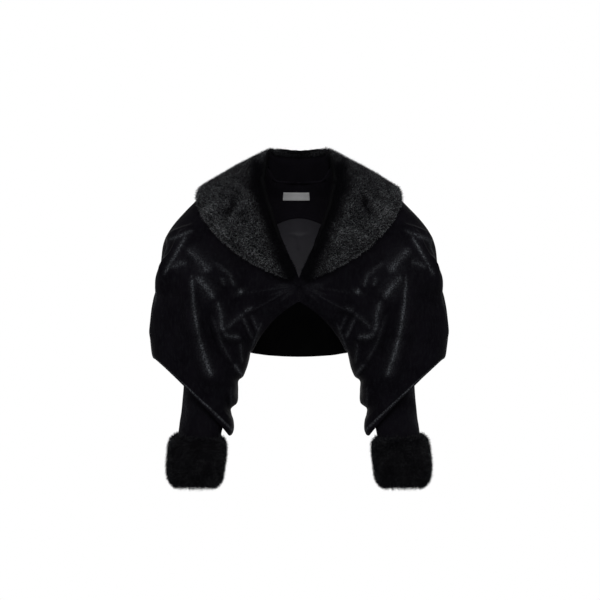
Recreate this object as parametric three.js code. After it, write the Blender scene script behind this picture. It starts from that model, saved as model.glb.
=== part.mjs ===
// Cropped velvet jacket with a wide fur shawl collar, draped cocoon sleeves and fur cuffs, filled out
// as it is when worn. Millimetres, +Z up. The front faces -Y and the wearer's left is +X.
// The origin is the middle of the neck's base, where the wearer holds the jacket up.
// The wearer's left half is worked out first and mirrored in the plane X = 0.

import * as THREE from "three";
import * as BufferGeometryUtils from "three/addons/utils/BufferGeometryUtils.js";

// Walls and gaps
const VELVET = 2;
const LINING = 1;
const SEAM_GAP = 0.3;
const COLLAR_FUR = 12;

// Seam between a front and the back along the shoulder, at the neck end
const NECK_SIDE = { x: 68, y: 0, z: 35 };

// Sleeve rings from the armhole to the turned-under lower edge. Each ring runs from its outer point
// (outX, outZ) over the front to its inner point (inX, inZ) and back round behind.
const SLEEVE_RINGS = table(
  ["outX", "outZ", "inX", "inZ", "front", "back", "midY", "rise", "power"],
  [150, 8, 100, -346, 106, 98, 0, 0, 1.15],
  [187, -11, 103, -360, 108, 100, 0, 0, 1.15],
  [221, -43, 107, -376, 110, 100, 0, 0, 1.1],
  [255, -80, 114, -392, 112, 100, 0, 0, 1],
  [277, -118, 125, -402, 112, 98, 0, 0, 0.9],
  [283, -160, 125, -422, 110, 96, 0, 2, 0.85],
  [288, -205, 126, -446, 106, 93, 0, 4, 0.8],
  [298, -250, 139, -458, 102, 90, 0, 7, 0.8],
  [304, -296, 138, -474, 96, 86, -2, 10, 0.8],
  [303, -328, 134, -488, 90, 82, -4, 14, 0.8],
  [299, -352, 134, -503, 82, 78, -6, 12, 0.8],
);

// The turned-under edge, from the fold up to the seam with the forearm
const TUCK_RINGS = table(
  ["outX", "outZ", "inX", "inZ", "front", "back", "midY", "rise", "power"],
  [293, -357, 139, -513, 76, 73, -7, 12, 0.82],
  [275, -356, 146, -509, 66, 62, -12, 10, 0.86],
  [250, -361, 148.5, -479, 54, 50, -10, 5, 0.92],
  [238, -366, 152, -446, 45, 44, -8, 0, 0.95],
);

// Forearm rings from the hidden seam down to the wrist hem inside the cuff
const FOREARM_RINGS = table(
  ["outX", "outZ", "inX", "inZ", "front", "back", "midY", "rise", "power"],
  [237.4, -366, 152.6, -446, 44.4, 43.4, -8, 0, 0.95],
  [235, -394, 152, -462, 45, 44, -12, 0, 0.95],
  [237, -436, 153, -476, 44, 43, -19, 0, 0.95],
  [241, -474, 155, -492, 42, 41, -26, 0, 0.95],
  [245, -506, 159, -514, 41, 40, -32, 0, 0.95],
  [248, -544, 164, -547, 39, 38, -38, 0, 0.95],
  [249, -600, 167, -600, 38, 37, -45, 0, 0.95],
);

// Outside of a cuff from its upper edge, round the forearm, to its lower edge
const CUFF_RINGS = table(
  ["outX", "outZ", "inX", "inZ", "front", "back", "midY", "rise", "power"],
  [256, -512, 152, -518, 49, 48, -33, 0, 0.9],
  [264, -522, 146, -528, 55, 54, -35, 0, 0.9],
  [268, -549, 147, -552, 57, 56, -39, 0, 0.9],
  [269, -576, 150, -578, 57, 56, -43, 0, 0.9],
  [266, -597, 154, -598, 54, 53, -46, 0, 0.9],
  [256, -609, 163, -610, 47, 46, -47, 0, 0.9],
);

// Power on a ring's sine and cosine at its inner point, where it is squarer than an ellipse. The
// column called power is the one at its outer point.
const INNER_POWER = 0.8;

// Where the fronts and the back end on the armhole, as shares of half its way round
const FRONT_END = 0.93;
const BACK_END = 0.96;

// Neckline and centre-front edge of a front, from the shoulder seam to the top of the arch
const FRONT_EDGE = table(
  ["x", "y", "z"],
  [68, 0, 35],
  [69, -42, 4],
  [62, -72, -34],
  [47, -92, -80],
  [26, -107, -135],
  [0.15, -117, -192],
  [0.15, -120, -215],
  [0.15, -118, -239],
);
const ARCH_BOW = 14;
const CHEST_BULGE = 12;

// Centre line of the back, and a second line below the neck end of the shoulder seam, hem first
const BACK_CENTRE = table(
  ["x", "y", "z"],
  [0, 104, -356],
  [0, 104, -290],
  [0, 106, -220],
  [0, 108, -150],
  [0, 100, -80],
  [0, 82, -28],
  [0, 60, 6],
);
const BACK_SIDE = table(
  ["x", "y", "z"],
  [64, 98, -353],
  [68, 100, -288],
  [74, 104, -214],
  [78, 104, -138],
  [76, 90, -84],
  [72, 54, -22],
  [68, 0, 35],
);

// Fur collar, one row for each station from the centre front to the centre back: the seam at the
// neck, the roll, the middle of the fall and the outer edge
const COLLAR_STATIONS = table(
  ["seamX", "seamY", "seamZ", "rollX", "rollY", "rollZ", "midX", "midY", "midZ", "edgeX", "edgeY", "edgeZ"],
  [5, -125.4, -186, 2, -134, -187, 6, -138, -191, 12, -136, -197],
  [33, -115.4, -129, 29, -127, -129, 48, -139, -150, 67, -138, -178],
  [52, -101.6, -77, 48, -116, -73, 86, -132, -108, 118, -129, -154],
  [64, -82, -40, 61, -97, -38, 112, -115, -64, 165, -116, -118],
  [69, -55, -1, 70, -68, 6, 124, -84, -14, 201, -88, -79],
  [66, -22, 31.5, 68, -28, 50, 130, -42, 26, 215, -46, -33],
  [61, 6, 42, 62, 8, 74, 132, 6, 40, 215, 6, -8],
  [50, 36, 22.6, 50, 40, 81, 120, 56, 26, 209, 56, -30],
  [28, 53, 11.5, 28, 60, 80, 66, 92, 10, 132, 108, -76],
  [0, 58, 8.2, 0, 67, 78, 0, 104, 6, 0, 124, -92],
);

// Largest folds on a sleeve and its front, seen from the front: a soft ridge or, below zero, a trough
// from (x1, z1) to (x2, z2)
const FRONT_FOLDS = table(
  ["x1", "z1", "x2", "z2", "width", "height"],
  [236, -112, 264, -196, 24, 8],
  [276, -130, 296, -196, 24, -8],
  [221, -190, 214, -290, 26, 12],
  [214, -290, 182, -396, 28, 12],
  [182, -270, 152, -370, 28, -7],
  [218, -132, 166, -196, 24, 9],
  [162, -246, 150, -300, 22, 9],
  [150, -302, 108, -314, 20, 8],
);
const BACK_FOLDS = table(
  ["x1", "z1", "x2", "z2", "width", "height"],
  [190, -110, 236, -210, 28, 8],
  [236, -210, 214, -350, 28, 12],
  [192, -240, 168, -370, 26, -8],
  [150, -230, 184, -330, 26, 7],
  [272, -140, 290, -240, 26, -7],
);

// Gathers that fan out from the fastening, on each front
const GATHERS = 5;
const GATHER_HEIGHT = 2.6;
const GATHER_REACH = 0.34;
const GATHER_START = 0.62;

function table(names, ...rows) {
  return rows.map((row) => Object.fromEntries(names.map((name, i) => [name, row[i]])));
}

// Catmull-Rom value of every column at row number t, which may lie between rows
function between(rows, t) {
  const i = Math.min(Math.max(Math.floor(t), 0), rows.length - 2);
  const f = t - i;
  const [b, c] = [rows[i], rows[i + 1]];
  const value = {};
  for (const name of Object.keys(b)) {
    const before = i > 0 ? rows[i - 1][name] : 2 * b[name] - c[name];
    const after = i + 2 < rows.length ? rows[i + 2][name] : 2 * c[name] - b[name];
    const slopeB = (c[name] - before) / 2;
    const slopeC = (after - b[name]) / 2;
    const [f2, f3] = [f * f, f * f * f];
    value[name] =
      (2 * f3 - 3 * f2 + 1) * b[name] +
      (f3 - 2 * f2 + f) * slopeB +
      (3 * f2 - 2 * f3) * c[name] +
      (f3 - f2) * slopeC;
  }
  return value;
}

// A table's rows respaced in so many even steps
const spread = (rows, steps) =>
  Array.from({ length: steps + 1 }, (_, i) => between(rows, (i / steps) * (rows.length - 1)));
const anglesRound = (count) => Array.from({ length: count }, (_, j) => (j / count) * 2 * Math.PI);

const signedPower = (v, power) => Math.sign(v) * Math.abs(v) ** power;
const smooth = (v) => {
  const t = Math.min(Math.max(v, 0), 1);
  return t * t * (3 - 2 * t);
};

// Point of a ring at an angle: 0 at the outer point, a quarter turn at the front, half at the inner point
function ringPoint(ring, angle) {
  const innerPower = Math.min(INNER_POWER, ring.power);
  const power = ring.power + (innerPower - ring.power) * smooth(0.5 - Math.cos(angle) / 2);
  const across = signedPower(Math.cos(angle), power);
  const deep = signedPower(Math.sin(angle), power);
  return new THREE.Vector3(
    (ring.outX + ring.inX) / 2 + ((ring.outX - ring.inX) / 2) * across,
    ring.midY - (deep > 0 ? ring.front : ring.back) * deep,
    (ring.outZ + ring.inZ) / 2 + ((ring.outZ - ring.inZ) / 2) * across + ring.rise * Math.abs(deep),
  );
}

// Height of the folds at a place seen from the front
function foldHeight(folds, x, z) {
  let height = 0;
  for (const fold of folds) {
    const along = new THREE.Vector2(fold.x2 - fold.x1, fold.z2 - fold.z1);
    const from = new THREE.Vector2(x - fold.x1, z - fold.z1);
    const share = Math.min(Math.max(from.dot(along) / along.lengthSq(), 0), 1);
    const away = from.addScaledVector(along, -share).length() / fold.width;
    height += fold.height * Math.exp(-away * away);
  }
  return height;
}

// Folds at a point of a ring, none at its outer and inner points where front and back meet
function sleeveFolds(point, angle) {
  const folds = Math.sin(angle) > 0 ? FRONT_FOLDS : BACK_FOLDS;
  return smooth(Math.abs(Math.sin(angle)) * 2) * foldHeight(folds, point.x, point.z);
}

// The armhole's plane, and the direction in it that points out of the sleeve's hollow at an angle
const ARMHOLE = SLEEVE_RINGS[0];
const ARMHOLE_OUT = new THREE.Vector3(ARMHOLE.outZ - ARMHOLE.inZ, 0, ARMHOLE.inX - ARMHOLE.outX).normalize();
function armholeRim(angle) {
  const step = 0.01;
  const along = ringPoint(ARMHOLE, angle + step).sub(ringPoint(ARMHOLE, angle - step));
  return along.cross(ARMHOLE_OUT).normalize();
}
function armholePoint(angle) {
  const point = ringPoint(ARMHOLE, angle);
  return point.addScaledVector(armholeRim(angle), sleeveFolds(point, angle));
}

// Inward unit normals of a grid of points, by neighbours; rounds says that a row closes on itself
function inwardNormals(grid, rounds) {
  const last = grid.length - 1;
  return grid.map((row, i) =>
    row.map((_, j) => {
      const n = row.length;
      const [i0, i1] = [Math.max(i - 1, 0), Math.min(i + 1, last)];
      const [j0, j1] = rounds ? [(j + n - 1) % n, (j + 1) % n] : [Math.max(j - 1, 0), Math.min(j + 1, n - 1)];
      const along = grid[i1][j].clone().sub(grid[i0][j]);
      const across = row[j1].clone().sub(row[j0]);
      return along.cross(across).normalize();
    }),
  );
}

// A closed wall between an outer grid of points and an inner one. A soft edge bulges by `soft`.
function wall(outer, inner, rounds, soft = 0) {
  const rows = outer.length;
  const columns = outer[0].length;
  const positions = [];
  const add = (p) => positions.push(p.x, p.y, p.z) / 3 - 1;
  const outerAt = outer.map((row) => row.map(add));
  const innerAt = inner.map((row) => row.map(add));
  const middleAt = new Map();
  const middle = (i, j) => {
    const key = i * columns + j;
    if (!middleAt.has(key)) {
      const push = new THREE.Vector3();
      const inI = i === 0 ? 1 : i === rows - 1 ? rows - 2 : i;
      const inJ = rounds ? j : j === 0 ? 1 : j === columns - 1 ? columns - 2 : j;
      if (inI !== i) push.add(outer[i][j].clone().sub(outer[inI][j]).normalize());
      if (inJ !== j) push.add(outer[i][j].clone().sub(outer[i][inJ]).normalize());
      const thick = outer[i][j].distanceTo(inner[i][j]);
      const centre = outer[i][j].clone().add(inner[i][j]).multiplyScalar(0.5);
      middleAt.set(key, add(centre.addScaledVector(push.normalize(), soft * thick)));
    }
    return middleAt.get(key);
  };
  const faces = [];
  const quad = (a, b, c, d) => faces.push(a, b, c, a, c, d);
  const turned = (a, b, c, d) => quad(b, c, d, a);
  const rim = (i, j, k, l) => {
    if (soft > 0) {
      quad(outerAt[i][j], middle(i, j), middle(k, l), outerAt[k][l]);
      quad(middle(i, j), innerAt[i][j], innerAt[k][l], middle(k, l));
    } else {
      quad(outerAt[i][j], innerAt[i][j], innerAt[k][l], outerAt[k][l]);
    }
  };
  const around = rounds ? columns : columns - 1;
  for (let j = 0; j < around; j++) {
    const next = (j + 1) % columns;
    for (let i = 0; i < rows - 1; i++) {
      const down = outer[i][j].distanceTo(outer[i + 1][next]);
      const up = outer[i + 1][j].distanceTo(outer[i][next]);
      const split = down < up ? quad : turned;
      split(outerAt[i][j], outerAt[i][next], outerAt[i + 1][next], outerAt[i + 1][j]);
      split(innerAt[i][j], innerAt[i + 1][j], innerAt[i + 1][next], innerAt[i][next]);
    }
    rim(0, j, 0, next);
    rim(rows - 1, next, rows - 1, j);
  }
  for (let i = 0; i < rows - 1 && !rounds; i++) {
    rim(i + 1, 0, i, 0);
    rim(i, columns - 1, i + 1, columns - 1);
  }
  const geometry = new THREE.BufferGeometry();
  geometry.setAttribute("position", new THREE.Float32BufferAttribute(positions, 3));
  geometry.setIndex(faces);
  geometry.computeVertexNormals();
  return geometry;
}

// Heights on closed rings, each shared with its neighbours; the first ring stays as it is
function softened(heights) {
  const last = heights.length - 1;
  return heights.map((row, i) =>
    row.map((height, j) => {
      if (i === 0) return height;
      const n = row.length;
      const [up, down] = [heights[i - 1][j], heights[Math.min(i + 1, last)][j]];
      return height / 2 + (up + down + row[(j + n - 1) % n] + row[(j + 1) % n]) / 8;
    }),
  );
}

const inside = (grid, normals, depth) =>
  grid.map((row, i) => row.map((p, j) => p.clone().addScaledVector(normals[i][j], depth)));
const mirrored = (grid) =>
  grid.map((row) => row.map((p) => new THREE.Vector3(-p.x, p.y, p.z)).reverse());

// Both sides of a wall that the wearer has twice
function pair(name, outer, inner, rounds, material, soft = 0) {
  return [
    piece(name + "_left", wall(outer, inner, rounds, soft), material()),
    piece(name + "_right", wall(mirrored(outer), mirrored(inner), rounds, soft), material()),
  ];
}
function piece(name, geometry, material) {
  const mesh = new THREE.Mesh(geometry, material);
  mesh.name = name;
  return mesh;
}

const cloth = (color, roughness) => () => new THREE.MeshStandardMaterial({ color, roughness, metalness: 0 });
const velvet = cloth(0x0b0b0d, 0.75);
const fur = cloth(0x101113, 0.95);
const satin = cloth(0x24242a, 0.45);
const facingCloth = cloth(0x101012, 0.85);
const labelCloth = cloth(0x77777c, 0.7);
const metal = () => new THREE.MeshStandardMaterial({ color: 0x2a2a2c, roughness: 0.35, metalness: 1 });

// Sleeve: rings with folds on their outer points, then the edge turned under. Beside the armhole the
// folds rise in the armhole's plane, so that the sleeve meets the front and the back there.
const SLEEVE_STEPS = 22;
const TUCK_STEPS = 4;
const SLEEVE_ROUND = 36;
const SEAM_BLEND = 4;
const FOLD_FADE = 2;
function sleeves() {
  const upper = spread(SLEEVE_RINGS, SLEEVE_STEPS);
  const lower = spread(TUCK_RINGS, TUCK_STEPS - 1);
  const angles = anglesRound(SLEEVE_ROUND);
  const grid = [...upper, ...lower].map((ring) => angles.map((angle) => ringPoint(ring, angle)));
  const plain = inwardNormals(grid, true);
  const heights = grid.map((row, i) => {
    const tucked = (i - SLEEVE_STEPS) / TUCK_STEPS;
    const fade = 1 - smooth(tucked * FOLD_FADE);
    return row.map((p, j) => fade * sleeveFolds(p, angles[j]));
  });
  const soft = softened(heights);
  const folded = grid.map((row, i) =>
    row.map((p, j) => {
      if (i === 0) return armholePoint(angles[j]).addScaledVector(ARMHOLE_OUT, SEAM_GAP);
      const away = plain[i][j].clone().negate();
      const out = armholeRim(angles[j]).lerp(away, smooth(i / SEAM_BLEND)).normalize();
      return p.clone().addScaledVector(out, soft[i][j]);
    }),
  );
  const normals = inwardNormals(folded, true);
  normals[0] = angles.map((angle) => armholeRim(angle).negate());
  return pair("sleeve", folded, inside(folded, normals, VELVET), true, velvet);
}

// Forearm: a close tube whose top edge meets the turned-under edge of the sleeve
const FOREARM_STEPS = 6;
const FOREARM_ROUND = 26;
function forearms() {
  const angles = anglesRound(FOREARM_ROUND);
  const rings = spread(FOREARM_RINGS, FOREARM_STEPS);
  const grid = rings.map((ring) => angles.map((angle) => ringPoint(ring, angle)));
  const normals = inwardNormals(grid, true);
  return pair("forearm", grid, inside(grid, normals, VELVET), true, velvet);
}

// Cuff: a thick fur ring, hollow to just outside the forearm
const CUFF_CLEARANCE = 0.6;
function cuffs() {
  const angles = anglesRound(FOREARM_ROUND);
  const outer = CUFF_RINGS.map((ring) => angles.map((angle) => ringPoint(ring, angle)));
  const inner = CUFF_RINGS.map((ring) => {
    const hole = forearmAt((ring.outZ + ring.inZ) / 2);
    hole.outX += CUFF_CLEARANCE;
    hole.inX -= CUFF_CLEARANCE;
    hole.front += CUFF_CLEARANCE;
    hole.back += CUFF_CLEARANCE;
    hole.outZ = ring.outZ;
    hole.inZ = ring.inZ;
    return angles.map((angle) => ringPoint(hole, angle));
  });
  return pair("cuff", outer, inner, true, fur, 0.3);
}
function forearmAt(height) {
  const middle = (ring) => (ring.outZ + ring.inZ) / 2;
  const last = FOREARM_RINGS.length - 1;
  let t = 0;
  while (t < last && middle(between(FOREARM_RINGS, t)) > height) t += 0.02;
  return between(FOREARM_RINGS, Math.min(t, last));
}

// Steps down a front are closer beside the fastening, where the gathers are
const FRONT_ACROSS = 11;
const FRONT_UPPER = 11;
const FRONT_LOWER = 17;
function fronts() {
  const shares = [];
  for (let j = 0; j < FRONT_UPPER; j++) shares.push((j / FRONT_UPPER) * GATHER_START);
  for (let j = 0; j <= FRONT_LOWER; j++) shares.push(GATHER_START + (j / FRONT_LOWER) * (1 - GATHER_START));
  const grid = [];
  for (let i = 0; i <= FRONT_ACROSS; i++) {
    grid.push(shares.map((share) => frontPoint(i / FRONT_ACROSS, share)));
  }
  const plain = inwardNormals(grid, false);
  grid.forEach((row, i) =>
    row.forEach((p, j) => {
      const t = i / FRONT_ACROSS;
      if (t < 1) p.addScaledVector(plain[i][j], -foldHeight(FRONT_FOLDS, p.x, p.z) * smooth(t * 3));
      if (t < 1) p.addScaledVector(plain[i][j], -gatherHeight(t, shares[j]));
      p.x = Math.max(p.x, SEAM_GAP / 2);
    }),
  );
  const normals = inwardNormals(grid, false);
  normals[FRONT_ACROSS] = shares.map((share) => armholeRim(share * FRONT_END * Math.PI).negate());
  normals.forEach((row) => row[0].set(0, 0, -1));
  shares.forEach((share, j) => {
    if (grid[0][j].x < 1) normals[0][j].setX(0).normalize();
  });
  grid.forEach((row) => row[0].setY(-SEAM_GAP / 2));
  return pair("front", grid, inside(grid, normals, VELVET), false, velvet);
}
function frontPoint(t, share) {
  const edge = between(FRONT_EDGE, share * (FRONT_EDGE.length - 1));
  const hole = armholePoint(share * FRONT_END * Math.PI);
  const point = new THREE.Vector3(edge.x, edge.y, edge.z).lerp(hole, t);
  const swell = Math.sin(Math.PI * t);
  point.z += ARCH_BOW * swell * smooth((share - 0.6) / 0.4);
  point.y -= CHEST_BULGE * swell * smooth(share * 2) * (1 + smooth((share - 0.6) / 0.4));
  return point;
}
function gatherHeight(t, share) {
  const place = (share - GATHER_START) / (1 - GATHER_START);
  if (place <= 0) return 0;
  const fade = Math.exp(-((t / GATHER_REACH) ** 2));
  return GATHER_HEIGHT * fade * (1 - Math.cos(2 * Math.PI * GATHERS * place));
}

// Back: from the wearer's right to the left, each column from the hem up to the neck and shoulder
const BACK_ACROSS = 20;
const BACK_UP = 14;
const BACK_SIDE_AT = 0.45;
function backGrid() {
  const grid = [];
  for (let i = 0; i <= BACK_ACROSS; i++) {
    const t = (2 * i) / BACK_ACROSS - 1;
    const row = [];
    for (let j = 0; j <= BACK_UP; j++) row.push(backPoint(t, j / BACK_UP));
    grid.push(row);
  }
  return grid;
}
function backPoint(t, share) {
  const side = Math.sign(t) || 1;
  const centre = between(BACK_CENTRE, share * (BACK_CENTRE.length - 1));
  const flank = between(BACK_SIDE, share * (BACK_SIDE.length - 1));
  const hole = armholePoint(-(1 - share) * BACK_END * Math.PI);
  const three = [{ ...flank, x: -flank.x }, centre, flank, { x: hole.x, y: hole.y, z: hole.z }];
  const reach = Math.abs(t) / BACK_SIDE_AT;
  const at = reach <= 1 ? reach : 1 + (Math.abs(t) - BACK_SIDE_AT) / (1 - BACK_SIDE_AT);
  const curve = between(three, 1 + at);
  const straight = at <= 1 ? curve : between([flank, three[3]], at - 1);
  const shoulder = smooth((share - 0.8) / 0.2);
  const point = new THREE.Vector3(curve.x, curve.y, curve.z).lerp(straight, shoulder);
  point.x *= side;
  return point;
}
function backWall() {
  const grid = backGrid();
  const normals = inwardNormals(grid, false);
  const angles = Array.from({ length: BACK_UP + 1 }, (_, j) => -(1 - j / BACK_UP) * BACK_END * Math.PI);
  normals[BACK_ACROSS] = angles.map((angle) => armholeRim(angle).negate());
  normals[0] = normals[BACK_ACROSS].map((n) => new THREE.Vector3(-n.x, n.y, n.z));
  grid.forEach((row, i) => {
    if (Math.abs(row[BACK_UP].x) < NECK_SIDE.x - 1) return;
    row[BACK_UP].setY(SEAM_GAP / 2);
    normals[i][BACK_UP].set(0, 0, -1);
  });
  return { grid, normals };
}
function back() {
  const { grid, normals } = backWall();
  return [piece("back", wall(grid, inside(grid, normals, VELVET), false), velvet())];
}

// Collar: the outer face of the fur, from the neck seam over the roll to the outer edge
const COLLAR_STEPS = 34;
const COLLAR_ACROSS = 9;
function collar() {
  const half = COLLAR_STATIONS.length - 1;
  const across = (station) =>
    Array.from({ length: COLLAR_ACROSS + 1 }, (_, j) => {
      const named = ["seam", "roll", "mid", "edge"].map((at) => ({
        x: station[at + "X"],
        y: station[at + "Y"],
        z: station[at + "Z"],
      }));
      const p = between(named, (j / COLLAR_ACROSS) * (named.length - 1));
      return new THREE.Vector3(p.x, p.y, p.z);
    });
  const behind = COLLAR_STATIONS.slice(0, -1).reverse().map((row) => {
    const other = { ...row };
    for (const name of ["seamX", "rollX", "midX", "edgeX"]) other[name] = -row[name];
    return other;
  });
  const stations = [...COLLAR_STATIONS, ...behind];
  const grid = [];
  for (let i = 0; i <= COLLAR_STEPS; i++) grid.push(across(between(stations, (i / COLLAR_STEPS) * 2 * half)));
  const normals = inwardNormals(grid, false);
  const inner = grid.map((row, i) => {
    const fromTip = Math.min(i, COLLAR_STEPS - i);
    return row.map((p, j) => {
      const thin = 0.4 + 0.6 * smooth(fromTip / 3);
      return p.clone().addScaledVector(normals[i][j], COLLAR_FUR * thin);
    });
  });
  return [piece("collar", wall(grid, inner, false, 0.35), fur())];
}

// What lies on the back's inside is made from the back's own points, moved in. The two cloths meet at
// one of the back's rows, and both end at its first and last columns given here.
const FACING_COLUMNS = [5, 15];
const FACING_FROM = 10;
const LINING_FROM = 4;
const LINING_SEAM = 0.03;
const NECK_INSET = 0.12;
function backLinings() {
  const { grid, normals } = backWall();
  const patch = (from, to, inset) => {
    const [first, last] = FACING_COLUMNS;
    const cut = (rows) => rows.slice(first, last + 1).map((row) => row.slice(from, to + 1));
    const near = VELVET + SEAM_GAP;
    const faces = [near, near + LINING].map((depth) => inside(cut(grid), cut(normals), depth));
    faces.flat().forEach((row) => row.at(-1).lerp(row.at(-2), inset));
    return faces;
  };
  const facing = patch(FACING_FROM, BACK_UP, NECK_INSET);
  const lining = patch(LINING_FROM, FACING_FROM, LINING_SEAM);
  return [
    piece("neck_facing", wall(...facing, false), facingCloth()),
    piece("lining_back", wall(...lining, false), satin()),
    piece("label", label(facing[1]), labelCloth()),
  ];
}

// Label: lies on the facing, at these places among the facing's own columns and rows
const LABEL_THICK = 0.8;
const LABEL_COLUMNS = [2.75, 3.6, 4.6, 5.6, 6.5];
const LABEL_ROWS = [1.77, 2.1, 2.5, 2.82];
function label(face) {
  const corner = (i, j) => face[Math.min(i, face.length - 1)][Math.min(j, face[0].length - 1)];
  const at = (u, v) => {
    const [i, j] = [Math.floor(u), Math.floor(v)];
    const low = corner(i, j).clone().lerp(corner(i + 1, j), u - i);
    const high = corner(i, j + 1).clone().lerp(corner(i + 1, j + 1), u - i);
    return low.lerp(high, v - j);
  };
  const grid = LABEL_COLUMNS.map((u) => LABEL_ROWS.map((v) => at(u, v)));
  const normals = inwardNormals(grid, false);
  return wall(inside(grid, normals, SEAM_GAP), inside(grid, normals, SEAM_GAP + LABEL_THICK), false);
}

// Hidden fastening behind the centre front: a bent hook on the left front and a round eye on the right
const CLOSURE = { y: -117.3, z: -212 };
const HOOK_WIDE = 2.4;
const EYE = { radius: 3.2, wire: 0.5, x: -3.4, behind: 0.88, tilt: 0.1 };
function fastening() {
  const outline = [
    [11, 0], [2.5, 0], [2.5, 2.5], [-4, 2.5], [-4, 0.9], [1, 0.9],
    [1, 0], [-4.9, 0], [-4.9, 3.4], [3.5, 3.4], [3.5, 1], [11, 1],
  ];
  const shape = new THREE.Shape(outline.map(([x, y]) => new THREE.Vector2(x, y)));
  const strip = new THREE.ExtrudeGeometry(shape, { depth: HOOK_WIDE, bevelEnabled: false });
  const hook = piece("hook", joined(strip), metal());
  hook.position.set(0, CLOSURE.y, CLOSURE.z - HOOK_WIDE / 2);
  const ring = new THREE.TorusGeometry(EYE.radius, EYE.wire, 8, 24);
  const eye = piece("eye", joined(ring), metal());
  eye.rotation.set(Math.PI / 2, EYE.tilt, 0);
  eye.position.set(EYE.x, CLOSURE.y + EYE.behind + EYE.wire, CLOSURE.z);
  return [hook, eye];
}
function joined(geometry) {
  geometry.deleteAttribute("normal");
  geometry.deleteAttribute("uv");
  const merged = BufferGeometryUtils.mergeVertices(geometry);
  merged.computeVertexNormals();
  return merged;
}

const jacket = new THREE.Group();
jacket.add(...fronts(), ...back(), ...sleeves(), ...forearms(), ...cuffs());
jacket.add(...collar(), ...backLinings(), ...fastening());

export default jacket;
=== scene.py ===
# %% [markdown]
# # A cropped velvet jacket with a fur collar and cuffs
# The jacket is shown filled out, as it hangs on a wearer. Its velvet falls in cowl folds over wide
# cocoon sleeves that end in close forearms. Each cloth is made here as a thin shell on a smooth form,
# with its folds pushed out along the surface, and the fur is grown as separate strands.

# %% Frame
import math

import bmesh
import bpy
import numpy as np
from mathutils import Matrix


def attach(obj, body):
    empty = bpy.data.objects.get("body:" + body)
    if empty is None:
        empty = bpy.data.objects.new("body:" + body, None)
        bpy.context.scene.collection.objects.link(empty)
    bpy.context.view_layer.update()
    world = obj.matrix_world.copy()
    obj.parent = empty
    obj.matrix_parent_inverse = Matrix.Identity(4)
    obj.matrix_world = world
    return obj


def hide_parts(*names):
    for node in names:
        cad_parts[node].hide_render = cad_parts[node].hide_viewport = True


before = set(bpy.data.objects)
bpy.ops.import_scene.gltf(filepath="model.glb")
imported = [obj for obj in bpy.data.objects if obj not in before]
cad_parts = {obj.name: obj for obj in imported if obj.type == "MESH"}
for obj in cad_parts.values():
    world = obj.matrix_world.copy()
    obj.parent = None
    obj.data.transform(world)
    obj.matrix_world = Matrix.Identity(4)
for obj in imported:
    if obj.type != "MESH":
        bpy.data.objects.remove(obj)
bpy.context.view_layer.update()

print("solids loaded:", sorted(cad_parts))

# %% [markdown]
# ## Camera
# A catalogue picture of a garment is taken straight on with a long lens, so that the sleeves aren't
# drawn wider than they are. The lens is long and the camera stands as far off as the picture's width
# at the jacket's middle asks.

# %% Camera
PICTURE_WIDTH = 1.23
LENS_MM = 100.0
SENSOR_MM = 36.0
AIM = (0.002, 0.0, -0.236)
distance = PICTURE_WIDTH * LENS_MM / SENSOR_MM
lens = bpy.data.cameras.new("straight_on")
lens.lens = LENS_MM
lens.sensor_width = SENSOR_MM
camera = bpy.data.objects.new("straight_on", lens)
camera.location = (AIM[0], AIM[1] - distance, AIM[2])
camera.rotation_euler = (math.pi / 2, 0, 0)
bpy.context.collection.objects.link(camera)
bpy.context.scene.camera = camera
print(f"camera {distance:.3f} m in front")

# %% [markdown]
# ## Curves through tables
# A dress form is described by a few measured sections. A smooth curve through each column of such a
# table gives a section at any place between them, which keeps the numbers few and the cloth smooth.
# All sizes are millimetres here and become metres when a mesh is made.

# %% Curves through tables
def smooth(value):
    """0 below 0, 1 above 1, and an S-shaped curve between"""
    t = np.clip(value, 0, 1)
    return t * t * (3 - 2 * t)


def spline(rows, at):
    """A smooth curve through rows, read at row numbers that may lie between rows"""
    rows = np.asarray(rows, float)
    at = np.asarray(at, float)
    ends = np.concatenate([2 * rows[:1] - rows[1:2], rows, 2 * rows[-1:] - rows[-2:-1]])
    first = np.clip(np.floor(at).astype(int), 0, len(rows) - 2)
    f = (at - first).reshape(at.shape + (1,) * (rows.ndim - 1))
    a, b, c, d = (ends[first + k] for k in range(4))
    slope_b, slope_c = (c - a) / 2, (d - b) / 2
    start = (2 * f**3 - 3 * f**2 + 1) * b + (f**3 - 2 * f**2 + f) * slope_b
    return start + (3 * f**2 - 2 * f**3) * c + (f**3 - f**2) * slope_c


def spread(rows, steps):
    """A table's rows respaced in so many even steps"""
    return spline(rows, np.linspace(0, len(rows) - 1, steps + 1))


# %% [markdown]
# ## Sleeve form
# The sleeve is a wide tube that starts at a deep armhole, from the shoulder down to the jacket's hem.
# Its rings lean, since the outer side falls straight from the shoulder while the inner side runs down
# the body. The last rings turn the lower edge under, up to the seam with the close forearm.

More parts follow.
